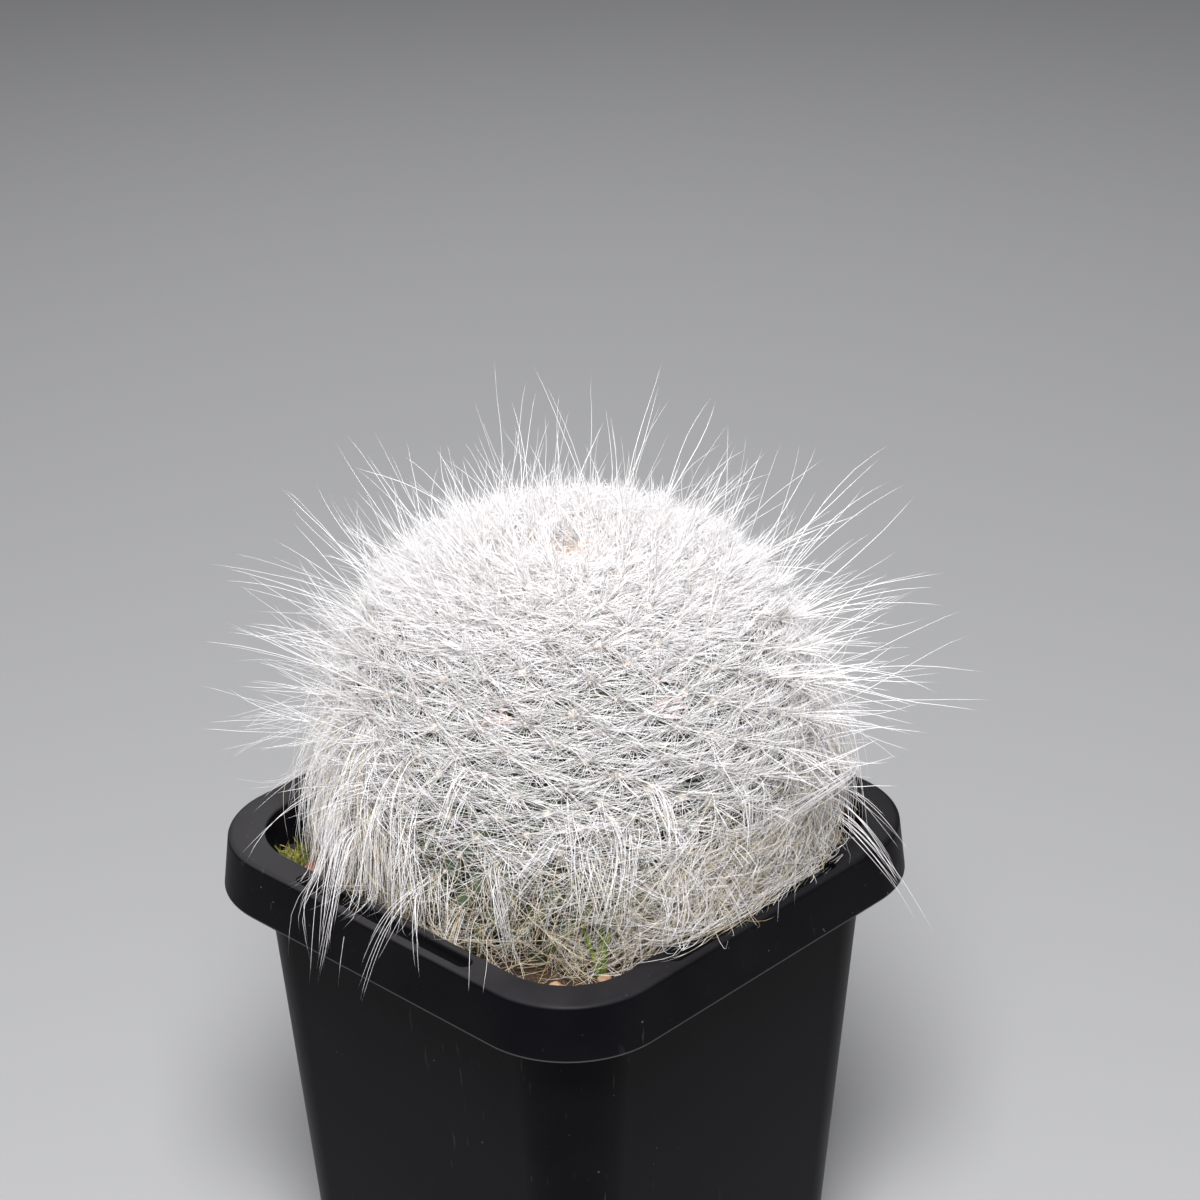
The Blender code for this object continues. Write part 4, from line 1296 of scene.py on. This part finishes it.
@dataclass
class CrownSpines(Piece):
    """Dense short spines over the crown, tan in its eye."""

    body: BodyShape
    count: int = 7500
    reach: float = 31.0 * MM
    eye: float = 3.5 * MM
    crowding: float = 0.62
    height: tuple[float, float] = (2.2 * MM, 5.4 * MM)
    radius: tuple[float, float] = (0.05 * MM, 0.085 * MM)
    habit: Habit = Habit(3, 0.0, 0.06)
    seed: int = 9

    def build(self) -> None:
        """Grow upright spines on a sunflower pattern, leaning outwards with distance."""
        rng = np.random.default_rng(self.seed)
        number = np.arange(self.count)
        share = ((number + 0.5) / self.count) ** self.crowding
        length = np.abs(share * self.reach + rng.normal(0, 0.5 * MM, self.count))
        base, normal = self.body.skin(length, number * GOLDEN_TURN)
        sunk = self.body.tubercle * (1 - self.body.relief(base))
        base = base - normal * sunk[:, None]
        out = base - [self.body.x, self.body.y, 0.0]
        out[:, 2] = 0.0
        lean = unit(out) * (share * 1.3 + 0.1)[:, None]
        heading = normal + lean + rng.normal(0, 0.34, base.shape)
        tall = rng.uniform(*self.height, self.count) * (0.12 + 1.3 * share**0.6) + sunk
        paths = grow(base, heading, tall, self.habit, rng)
        radii = rng.uniform(*self.radius, self.count)
        eye = length + rng.normal(0, 1.0 * MM, self.count) < self.eye
        tan = eye & (rng.uniform(0, 1, self.count) < 0.75)
        self.finish(strands("crown_spines", paths[~tan], radii[~tan]), WHITE.make(), "cactus")
        self.finish(strands("crown_eye", paths[tan], radii[tan]), TAN.make(), "cactus")


@dataclass
class Bristles(Piece):
    """Long, nearly straight bristles in a tuft from each areole, over the sides and the top."""

    body: BodyShape
    short: int = 9
    short_size: tuple[float, float] = (5.0 * MM, 12.0 * MM)
    short_radius: tuple[float, float] = (0.05 * MM, 0.075 * MM)
    tall: int = 8
    tall_size: tuple[float, float] = (6.0 * MM, 36.0 * MM)
    tall_radius: tuple[float, float] = (0.06 * MM, 0.1 * MM)
    lowest: float = 15.0 * MM
    wander: float = 0.07
    worn_side: float = math.radians(225)
    worn_spread: float = math.radians(62)
    worn_top: float = 40.0 * MM
    worn_depth: float = 14.0 * MM
    worn_away: float = 0.9
    limp_top: float = 24.0 * MM
    limp_depth: float = 16.0 * MM
    seed: int = 12

    @staticmethod
    def away_from(turn: Array, side: float) -> Array:
        """Angle between bearings, from 0 to half a turn."""
        return np.abs((turn - side + math.pi) % (2 * math.pi) - math.pi)

    def worn(self, base: Array) -> Array:
        """How far the bristles of each areole have worn away, from 0 to 1: low down at one side."""
        off_side = self.away_from(self.body.bearing(base), self.worn_side)
        share = np.exp(-((off_side / self.worn_spread) ** 2))
        return share * self.body.below(base[:, 2], self.worn_top, self.worn_depth)

    def tuft(self, count: int, sizes: tuple[float, float], spread: float, steps: int,
             rng: np.random.Generator) -> Array:
        """Grow some hairs from every areole.

        Args:
            count: Hairs of each areole.
            sizes: Shortest and longest hair.
            spread: Chance of each hair's heading.
            steps: Steps of each hair.
            rng: Source of chance.

        Returns:
            The paths.
        """
        base, normal = self.body.areoles(self.body.pot.height + self.lowest)
        shape = (len(base), count)
        common = unit(normal + rng.normal(0, 0.24, normal.shape) + [0, 0, 0.12])
        heading = common[:, None] + rng.normal(0, spread, (*shape, 3))
        low, high = sizes
        rise = normal[:, 2]
        longest = low + (high - low) * np.interp(rise, [0.6, 0.95], [1.0, 0.62])[:, None]
        power = np.interp(rise, [0.3, 0.8], [1.6, 5.0])[:, None]
        worn = self.worn(base)
        share = rng.uniform(0, 1, shape) ** power
        share = share * (rng.uniform(0.45, 1.05, len(base)) * (1 - self.worn_away * worn))[:, None]
        length = (low + share * (longest - low)).ravel()
        root = np.repeat(base[:, None], count, axis=1) + rng.normal(0, 0.3 * MM, (*shape, 3))
        root = root.reshape(-1, 3)
        sag = 0.04 + 0.4 * self.body.below(root[:, 2], self.limp_top, self.limp_depth)
        habit = Habit(steps, sag, self.wander)
        paths = grow(root, heading.reshape(-1, 3), length, habit, rng, Keeper(self.body), 0.5 * MM)
        return paths[rng.uniform(0, 1, len(paths)) > self.worn_away * np.repeat(worn, count)]

    def build(self) -> None:
        """Grow the short fur and the tall bristles."""
        rng = np.random.default_rng(self.seed)
        fur = self.tuft(self.short, self.short_size, 0.42, 4, rng)
        radii = rng.uniform(*self.short_radius, len(fur))
        tint = rng.uniform(0, 1, len(fur))
        self.share_out("fur", fur, radii, tint, ((WHITE, 0.7), (SILVER, 2.0)))
        tall = self.tuft(self.tall, self.tall_size, 0.13, 8, rng)
        radii = rng.uniform(*self.tall_radius, len(tall))
        tint = rng.uniform(0, 1, len(tall))
        self.share_out("bristles", tall, radii, tint, ((WHITE, 0.75), (SILVER, 2.0)))


@dataclass
class Tangle(Piece):
    """Wandering hairs over the lower body, crossing every way, creamier towards the mix."""

    body: BodyShape
    hairs: int = 2800
    top: float = 32.0 * MM
    length: tuple[float, float] = (9.0 * MM, 25.0 * MM)
    radius: tuple[float, float] = (0.036 * MM, 0.060 * MM)
    habit: Habit = Habit(7, 0.7, 0.04, 1.25)
    combed_side: float = math.radians(-72)
    combed_spread: float = math.radians(38)
    combing: float = 3.2
    warm_top: float = 20.0 * MM
    warm_depth: float = 23.0 * MM
    seed: int = 14

    def sweep(self, root: Array) -> Array:
        """The pull on each hair round the body, strongest at the side where the fur is combed."""
        turn = self.body.bearing(root)
        share = np.exp(-(((turn - self.combed_side) / self.combed_spread) ** 2))
        return self.body.round_way(turn) * share[:, None]

    def build(self) -> None:
        """Grow the hairs close over the body and share them among the tints."""
        rng = np.random.default_rng(self.seed)
        base, normal = self.body.areoles(self.body.mix_top + 2 * MM)
        rim = self.body.pot.height
        low = base[:, 2] < rim + self.top
        base, normal = base[low], normal[low]
        weight = np.clip((rim + self.top + 2 * MM - base[:, 2]) / self.top, 0.08, 1.0) ** 0.7
        weight *= 0.15 + 0.85 * np.clip(lumps(base, 26 * MM, 6) + 0.5, 0, 1)
        pick = rng.choice(len(base), self.hairs, p=weight / weight.sum())
        root, out = base[pick], normal[pick]
        up, side = frames(out)
        tuft = rng.normal(0, 0.7, (len(base), 2))[pick] + rng.normal(0, 1.1, (self.hairs, 2))
        heading = out * 0.45 + side * tuft[:, :1] - up * (0.2 + 0.45 * tuft[:, 1:])
        length = rng.uniform(*self.length, self.hairs)
        lift = rng.uniform(0.1, 1.0, self.hairs) ** 1.4 * 3.6 * MM
        keep = Keeper(self.body, far=rng.uniform(4 * MM, 11 * MM, self.hairs))
        pull = self.sweep(root) * self.combing
        habit = replace(self.habit, sag=self.habit.sag - 0.2 * np.linalg.norm(pull, axis=1))
        paths = grow(root, heading, length, habit, rng, keep, lift, pull)
        radii = rng.uniform(*self.radius, self.hairs)
        warm = self.body.below(paths[:, self.habit.steps // 2 + 1, 2], self.warm_top, self.warm_depth)
        tint = rng.uniform(0, 1, self.hairs) + 0.8 * warm
        self.share_out("tangle", eased(paths), radii, tint,
                       ((WHITE, 0.25), (WHITE, 0.50), (SILVER, 0.86), (CREAM, 1.50), (STRAW, 2.0)))


@dataclass
class Locks(Piece):
    """Clumped locks that hang over the tangle."""

    body: BodyShape
    locks: int = 30
    strands_each: int = 11
    heights: tuple[float, float] = (3.0 * MM, 29.0 * MM)
    spread: tuple[float, float] = (0.5 * MM, 1.6 * MM)
    radius: tuple[float, float] = (0.042 * MM, 0.066 * MM)
    habit: Habit = Habit(9, 1.5, 0.03, 0.6)
    combing: float = 1.8
    seed: int = 17

    def build(self) -> None:
        """Grow the hanging locks from chance areoles."""
        rng = np.random.default_rng(self.seed)
        lowest, highest = self.heights
        base, normal = self.body.areoles(self.body.pot.height + lowest)
        low = base[:, 2] < self.body.pot.height + highest
        base, normal = base[low], normal[low]
        pick = rng.choice(len(base), self.locks, replace=False)
        root, out = base[pick], normal[pick]
        _, side = frames(out)
        heading = out * 0.75 + side * rng.normal(0, 0.6, (self.locks, 1)) + [0, 0, -0.35]
        length = 8 * MM + 16 * MM * rng.uniform(0, 1, self.locks) ** 1.5
        pull = Tangle(self.body).sweep(root) * self.combing + rng.normal(0, 0.35, root.shape)
        keep = Keeper(self.body, far=rng.uniform(5 * MM, 11 * MM, self.locks))
        guide = grow(root, heading, length, self.habit, rng, keep, 2.4 * MM, pull)
        hanging = clumped(eased(guide, 2), rng.uniform(*self.spread, self.locks), self.strands_each, rng)
        radii = rng.uniform(*self.radius, len(hanging))
        tint = rng.uniform(0, 1, len(hanging))
        self.share_out("locks", hanging, radii, tint, ((WHITE, 0.75), (CREAM, 2.0)))


@dataclass
class Curtains(Piece):
    """Long straight hair that hangs from the widest part of the body at some of its sides.

    A side gives its bearing in degrees, its spread and its share of the hairs.
    """

    body: BodyShape
    hairs: int = 720
    sides: tuple[tuple[float, float, float], ...] = (
        (155.0, 14.0, 0.57),
        (310.0, 8.0, 0.15),
        (60.0, 40.0, 0.28),
    )
    heights: tuple[float, float] = (10.0 * MM, 33.0 * MM)
    radius: tuple[float, float] = (0.044 * MM, 0.07 * MM)
    habit: Habit = Habit(9, 2.6, 0.025, 0.25)
    warm_top: float = 22.0 * MM
    warm_depth: float = 20.0 * MM
    seed: int = 37

    def build(self) -> None:
        """Grow hairs out of tufts: a little way out, then straight down."""
        rng = np.random.default_rng(self.seed)
        rows = np.array(self.sides)
        side = rng.choice(len(rows), self.hairs, p=rows[:, 2])
        turn = np.radians(rows[side, 0] + rng.normal(0, 1, self.hairs) * rows[side, 1])
        above = rng.uniform(*self.heights, self.hairs)
        length = np.interp(-self.body.pot.height - above, -self.body.line[:, 1], self.body.length)
        places, _ = self.body.skin(length, turn)
        base, normal = self.body.areoles(self.body.pot.height)
        nearest = np.linalg.norm(places[:, None] - base[None], axis=-1).argmin(axis=1)
        root = base[nearest] + rng.normal(0, 0.35 * MM, (self.hairs, 3))
        out = normal[nearest]
        common = rng.normal(0, 0.22, base.shape)[nearest]
        heading = out * 0.38 + common + rng.normal(0, 0.1, root.shape) + [0, 0, -0.35]
        tall = (root[:, 2] - self.body.pot.height) * rng.uniform(0.75, 1.15, self.hairs) + 4 * MM
        keep = Keeper(self.body, Side.OVER, far=rng.uniform(5 * MM, 13 * MM, self.hairs))
        lift = rng.uniform(0.8 * MM, 2.5 * MM, self.hairs)
        paths = eased(grow(root, heading, tall, self.habit, rng, keep, lift), 2)
        radii = rng.uniform(*self.radius, self.hairs)
        warm = np.clip((self.warm_top - above) / self.warm_depth, 0, 1)
        tint = rng.uniform(0, 1, self.hairs) + 0.3 * warm
        self.share_out("curtain", paths, radii, tint, ((WHITE, 0.8), (CREAM, 2.0)))


@dataclass
class CombedBelt(Piece):
    """Fur combed along the inside of the rim at one side, down towards the front corner."""

    body: BodyShape
    hairs: int = 820
    bearings: tuple[float, float] = (-112.0, -44.0)
    top: float = 19.0 * MM
    length: tuple[float, float] = (13.0 * MM, 30.0 * MM)
    radius: tuple[float, float] = (0.042 * MM, 0.066 * MM)
    away: tuple[float, float] = (2.0 * MM, 9.0 * MM)
    along: tuple[float, float, float] = (-1.0, 0.0, 0.0)
    combing: float = 0.45
    short_of_edge: float = 1.8 * MM
    pressed: float = 0.9
    habit: Habit = Habit(10, 0.12, 0.03, 1.1)
    seed: int = 27

    def build(self) -> None:
        """Grow the belt from a band of the skin, pulled round the body and pressed to the rim's line."""
        rng = np.random.default_rng(self.seed)
        turn = np.radians(rng.uniform(*self.bearings, self.hairs))
        height = self.body.pot.height + rng.uniform(0, 1, self.hairs) ** 1.5 * self.top
        root, out = self.body.rooted(height, turn)
        round_way = unit(self.body.round_way(turn) + self.along)
        heading = out * 0.25 + round_way + rng.normal(0, 0.24, root.shape) + [0, 0, -0.08]
        far = rng.uniform(*self.away, self.hairs)
        keep = Keeper(self.body, Side.OVER, rng.uniform(0.3 * MM, 3.2 * MM, self.hairs), far)
        length = rng.uniform(*self.length, self.hairs)
        paths = grow(root, heading, length, self.habit, rng, keep, far * 0.6, round_way * self.combing)
        past = self.short_of_edge - self.body.pot.half - paths[..., 1]
        paths[..., 1] += self.pressed * np.maximum(past, 0.0)
        radii = rng.uniform(*self.radius, self.hairs)
        tint = rng.uniform(0, 1, self.hairs)
        self.share_out("combed_belt", eased(paths, 2), radii, tint,
                       ((WHITE, 0.45), (SILVER, 0.62), (CREAM, 0.96), (STRAW, 2.0)))


@dataclass
class Fringe(Piece):
    """Short curly hairs at the foot of the body, where it meets the mix."""

    body: BodyShape
    hairs: int = 2500
    heights: tuple[float, float] = (-4.0 * MM, 11.0 * MM)
    length: tuple[float, float] = (4.0 * MM, 9.0 * MM)
    radius: tuple[float, float] = (0.038 * MM, 0.06 * MM)
    habit: Habit = Habit(6, 0.3, 0.08, 2.4)
    seed: int = 41

    def build(self) -> None:
        """Grow the hairs all round, every way over the skin."""
        rng = np.random.default_rng(self.seed)
        height = self.body.pot.height + rng.uniform(*self.heights, self.hairs)
        root, out = self.body.rooted(height, rng.uniform(0, 2 * math.pi, self.hairs))
        up, side = frames(out)
        heading = (out * rng.uniform(0.2, 0.9, (self.hairs, 1)) + side * rng.normal(0, 1, (self.hairs, 1))
                   + up * rng.normal(-0.1, 0.6, (self.hairs, 1)))
        keep = Keeper(self.body, far=rng.uniform(1 * MM, 5 * MM, self.hairs))
        lift = rng.uniform(0.3 * MM, 1.8 * MM, self.hairs)
        length = rng.uniform(*self.length, self.hairs)
        paths = grow(root, heading, length, self.habit, rng, keep, lift)
        radii = rng.uniform(*self.radius, self.hairs)
        self.share_out("fringe", eased(paths), radii, rng.uniform(0, 1, self.hairs),
                       ((WHITE, 0.22), (SILVER, 0.48), (CREAM, 0.9), (STRAW, 2.0)))


@dataclass
class Wisps(Piece):
    """Distinct wisps, each drawn from one place to another.

    A row gives bearing in degrees, height above the rim and distance out in mm, at the root and at the
    tip, and the number of strands.
    """

    body: BodyShape
    front: tuple[tuple[float, ...], ...] = (
        (222.0, 25.0, 1.5, 224.7, 6.0, 6.0, 13), (218.0, 19.0, 2.0, 208.0, 9.0, 6.0, 11),
        (203.5, 14.0, 2.0, 209.0, -2.5, 6.5, 15), (235.0, 21.0, 2.0, 233.0, 0.0, 6.0, 15),
        (242.0, 27.0, 2.0, 246.0, 16.0, 6.5, 13), (182.0, 14.0, 2.0, 188.0, -1.0, 7.0, 9),
        (226.5, 17.0, 3.0, 231.0, 3.5, 6.5, 10), (197.0, 28.0, 2.0, 193.0, 15.0, 6.0, 11),
        (251.0, 19.0, 3.0, 238.0, 10.0, 6.0, 10), (266.0, 24.0, 2.0, 262.0, 11.0, 6.0, 9),
        (20.0, 22.0, 2.0, 26.0, 5.0, 6.0, 12), (75.0, 24.0, 2.0, 70.0, 6.0, 6.0, 12),
        (113.0, 20.0, 2.0, 119.0, 2.0, 6.0, 12), (340.0, 23.0, 2.0, 334.0, 4.0, 6.0, 12),
    )
    over_rim: tuple[tuple[float, ...], ...] = (
        (165.0, 13.0, 3.5, 169.9, -11.9, 21.6, 18), (160.0, 12.0, 3.5, 162.0, -9.0, 19.0, 9),
        (186.3, 7.0, 3.0, 181.8, -10.1, 22.6, 6), (186.0, 7.0, 3.0, 195.1, -2.4, 15.7, 4),
        (201.0, 4.0, 3.0, 208.5, 1.7, 19.0, 2), (301.0, 8.0, 4.0, 295.2, -12.3, 30.7, 12),
        (304.0, 11.0, 4.0, 304.5, -1.5, 19.0, 5), (141.0, 14.0, 3.0, 143.2, 1.0, 22.0, 2),
        (22.0, 9.0, 3.0, 25.0, -8.0, 20.0, 9), (74.0, 9.0, 3.0, 70.0, -9.0, 20.0, 9),
        (118.0, 9.0, 3.0, 121.0, -5.0, 19.0, 8),
    )
    stiff: tuple[tuple[float, ...], ...] = ((306.0, 14.0, 10.5, 258.5, 22.5, 12.5, 16),)
    steps: int = 12
    seed: int = 29

    def draw(self, name: str, rows: Sequence[Sequence[float]], fall: float, spread: float, thick: float,
             rng: np.random.Generator) -> None:
        """Draw one family: straight in plan, while the height falls with a power of the way along.

        Args:
            name: The piece's name.
            rows: The wisps.
            fall: The power; above 1 the wisp goes out before it goes down.
            spread: How far apart the strands of a wisp start.
            thick: Mean radius of a strand.
            rng: Source of chance.
        """
        table = np.array(rows)
        scaled = table[:, :6] * [1, MM, MM, 1, MM, MM]
        start = self.body.beside(*scaled[:, :3].T)[:, None]
        end = self.body.beside(*scaled[:, 3:].T)[:, None]
        foot = self.body.beside(scaled[:, 0], scaled[:, 1], np.full(len(rows), -2 * MM))[:, None]
        share = np.linspace(0, 1, self.steps)[None, :, None]
        guide = start + (end - start) * share
        guide[..., 2:] = start[..., 2:] + (end[..., 2:] - start[..., 2:]) * share**fall
        keep = Keeper(self.body, Side.OVER, 0.6 * MM)
        held = keep(guide.reshape(-1, 3), 1.2 * MM).reshape(guide.shape)
        guide = eased(np.concatenate([foot, held], axis=1), 2)
        groups = [clumped(guide[number:number + 1], np.array([spread]), int(row[6]), rng)
                  for number, row in enumerate(table)]
        paths = np.concatenate(groups)
        radii = rng.uniform(0.75, 1.25, len(paths)) * thick
        self.finish(strands(name, paths, radii), WHITE.make(), "cactus")

    def build(self) -> None:
        """Draw the wisps over the front, those over the rim and the stiff lock."""
        rng = np.random.default_rng(self.seed)
        self.draw("front_wisps", self.front, 1.15, 1.2 * MM, 0.058 * MM, rng)
        self.draw("locks_over_rim", self.over_rim, 1.8, 1.2 * MM, 0.06 * MM, rng)
        self.draw("stiff_lock", self.stiff, 1.0, 0.4 * MM, 0.085 * MM, rng)


@dataclass
class Moss(Piece):
    """A patch of moss in the pot's corner and a green seedling among the hairs."""

    body: BodyShape
    corner: tuple[float, float] = (-32.0 * MM, 31.0 * MM)
    patch: float = 2.0 * MM
    leaves: int = 420
    beside_plant: float = 34.5 * MM
    leaf: tuple[float, float] = (1.2 * MM, 4.2 * MM)
    seedling: float = 229.1
    seedling_out: float = 6.0 * MM
    blades: int = 4
    blade: tuple[float, float] = (9.5 * MM, 13.5 * MM)
    blade_radius: float = 0.42 * MM
    seed: int = 23

    def build(self) -> None:
        """Grow short leafy shoots over a small patch of the mix, then the seedling."""
        rng = np.random.default_rng(self.seed)
        middle = np.array([*self.corner, self.body.mix_top])
        places = middle + rng.normal(0, 1, (self.leaves, 3)) * [self.patch, self.patch, 0]
        pot = self.body.pot
        inside = pot.reach(places, pot.mouth, pot.mouth_radius) < -0.8 * MM
        away = np.hypot(places[:, 0] - self.body.x, places[:, 1] - self.body.y) > self.beside_plant
        places = places[inside & away]
        heading = rng.normal(0, 0.5, places.shape) + [0, 0, 1.0]
        length = rng.uniform(*self.leaf, len(places))
        paths = grow(places, heading, length, Habit(3, 0.0, 0.2), rng)
        made = strands("corner_moss", paths, rng.uniform(0.12 * MM, 0.24 * MM, len(places)))
        self.finish(made, MossFinish().make(), "potting_mix")
        self.add_seedling(rng)

    def add_seedling(self, rng: np.random.Generator) -> None:
        """A few upright blades that spring from one spot of the mix."""
        spot = self.body.beside(self.seedling, -self.body.mix_below_rim, self.seedling_out)
        foot = spot + rng.normal(0, 0.3 * MM, (self.blades, 3)) * [1, 1, 0]
        heading = rng.normal(0, 0.12, foot.shape) + [0, 0, 1.0]
        length = rng.uniform(*self.blade, self.blades)
        paths = grow(foot, heading, length, Habit(6, 0.0, 0.05), rng)
        made = strands("green_seedling", paths, np.full(self.blades, self.blade_radius), 6)
        finish = MossFinish("seedling", (0.08, 0.15, 0.015), (0.20, 0.27, 0.04))
        self.finish(made, finish.make(), "potting_mix")


@dataclass
class DriedFlowers(Piece):
    """Faded flowers left among the spines, at bearings in degrees and heights above the rim."""

    body: BodyShape
    places: tuple[tuple[float, float], ...] = ((203.1, 37.2 * MM), (249.5, 37.8 * MM), (95.0, 36.0 * MM))
    petals: int = 8
    length: tuple[float, float] = (1.8 * MM, 3.2 * MM)
    petal_radius: float = 0.45 * MM
    petal_turn: float = math.radians(137.5)
    seed: int = 31

    def build(self) -> None:
        """Crumpled petals, laid close over the skin round each flower's middle."""
        rng = np.random.default_rng(self.seed)
        rows = np.repeat(np.array(self.places), self.petals, axis=0)
        base, normal = self.body.rooted(self.body.pot.height + rows[:, 1], np.radians(rows[:, 0]))
        up, side = frames(normal)
        turn = (np.arange(len(rows)) * self.petal_turn)[:, None]
        way = up * np.cos(turn) + side * np.sin(turn) * 1.6
        root = base + normal * 0.2 * MM + way * 0.4 * MM
        heading = normal * 0.75 + way * 0.8 + rng.normal(0, 0.2, way.shape)
        length = rng.uniform(*self.length, len(rows))
        paths = grow(root, heading, length, Habit(5, 0.0, 0.25), rng, self.body.clear, 0.5 * MM)
        made = strands("dried_flowers", paths, np.full(len(rows), self.petal_radius), 6)
        self.finish(made, PetalFinish().make(), "cactus")


@dataclass
class Studio:
    """Pale floor, soft lights and the photograph's viewpoint."""

    rim_height: float
    distance: float = 600.0 * MM
    elevation: float = math.radians(30.58)
    yaw: float = math.radians(45.53)
    focal_pixels: float = 3558.4
    frame_pixels: float = 1200.0
    pan: float = math.radians(0.652)
    tilt: float = math.radians(-3.533)
    roll: float = math.radians(1.219)
    sensor: float = 36.0

    def camera(self) -> None:
        """Place the camera on the line that the rim's edges give, then pan, tilt and roll it."""
        back = np.array([
            -math.cos(self.elevation) * math.sin(self.yaw),
            -math.cos(self.elevation) * math.cos(self.yaw),
            math.sin(self.elevation),
        ])
        right = np.array([math.cos(self.yaw), -math.sin(self.yaw), 0.0])
        up = np.cross(back, right)
        forward = -back
        tilted = up * math.cos(self.tilt) + forward * math.sin(self.tilt)
        ahead = forward * math.cos(self.tilt) - up * math.sin(self.tilt)
        across = right * math.cos(self.pan) - ahead * math.sin(self.pan)
        ahead = right * math.sin(self.pan) + ahead * math.cos(self.pan)
        x_axis = across * math.cos(self.roll) - tilted * math.sin(self.roll)
        y_axis = across * math.sin(self.roll) + tilted * math.cos(self.roll)
        data = bpy.data.cameras.new("camera")
        data.sensor_width = self.sensor
        data.lens = self.focal_pixels / self.frame_pixels * self.sensor
        data.clip_start = 0.01
        camera = bpy.data.objects.new("camera", data)
        place = np.array([0.0, 0.0, self.rim_height]) + back * self.distance
        camera.matrix_world = Matrix([
            [x_axis[0], y_axis[0], -ahead[0], place[0]],
            [x_axis[1], y_axis[1], -ahead[1], place[1]],
            [x_axis[2], y_axis[2], -ahead[2], place[2]],
            [0.0, 0.0, 0.0, 1.0],
        ])
        bpy.context.scene.collection.objects.link(camera)
        bpy.context.scene.camera = camera

    def light(self, name: str, place: Sequence[float], size: float, power: float) -> None:
        """A square soft light aimed at the plant."""
        data = bpy.data.lights.new(name, "AREA")
        data.size = size
        data.energy = power
        lamp = bpy.data.objects.new(name, data)
        aim = Vector((0.0, 0.0, self.rim_height + 10 * MM))
        lamp.location = place
        lamp.rotation_euler = (aim - Vector(place)).to_track_quat("-Z", "Y").to_euler()
        bpy.context.scene.collection.objects.link(lamp)

    def build(self) -> None:
        """Make the floor, the lights, the world and the camera."""
        edge = 2.5
        corners = np.array([[-edge, -edge, 0], [edge, -edge, 0], [edge, edge, 0], [-edge, edge, 0]])
        floor = mesh_object("floor", corners, [[0, 1, 2, 3]], [], False)
        floor.data.materials.append(FloorFinish().make())
        self.light("top", (-0.33, -0.30, 0.75), 0.28, 11.5)
        self.light("left", (-0.75, 0.25, 0.45), 0.5, 0.6)
        self.light("right", (0.40, -0.75, 0.45), 0.5, 0.5)
        self.light("back", (0.42, 0.42, 0.50), 0.35, 1.0)
        world = bpy.data.worlds.new("studio")
        world.use_nodes = True
        world.node_tree.nodes["Background"].inputs["Color"].default_value = (0.5, 0.51, 0.53, 1.0)
        world.node_tree.nodes["Background"].inputs["Strength"].default_value = 0.20
        bpy.context.scene.world = world
        bpy.context.scene.view_settings.view_transform = "Standard"
        self.camera()


def main() -> None:
    """Build every piece in order."""
    logging.basicConfig(level=logging.INFO, format="%(message)s")
    pot = PotShape()
    body = BodyShape(pot)
    Pot(pot).build()
    PottingMix(body).build()
    Grit().build()
    CactusSkin(body).build()
    Wool(body).build()
    RadialSpines(body).build()
    Web(body).build()
    CrownSpines(body).build()
    Bristles(body).build()
    Tangle(body).build()
    Locks(body).build()
    Curtains(body).build()
    CombedBelt(body).build()
    Fringe(body).build()
    Wisps(body).build()
    Moss(body).build()
    DriedFlowers(body).build()
    Studio(pot.height).build()


if __name__ == "__main__":
    main()
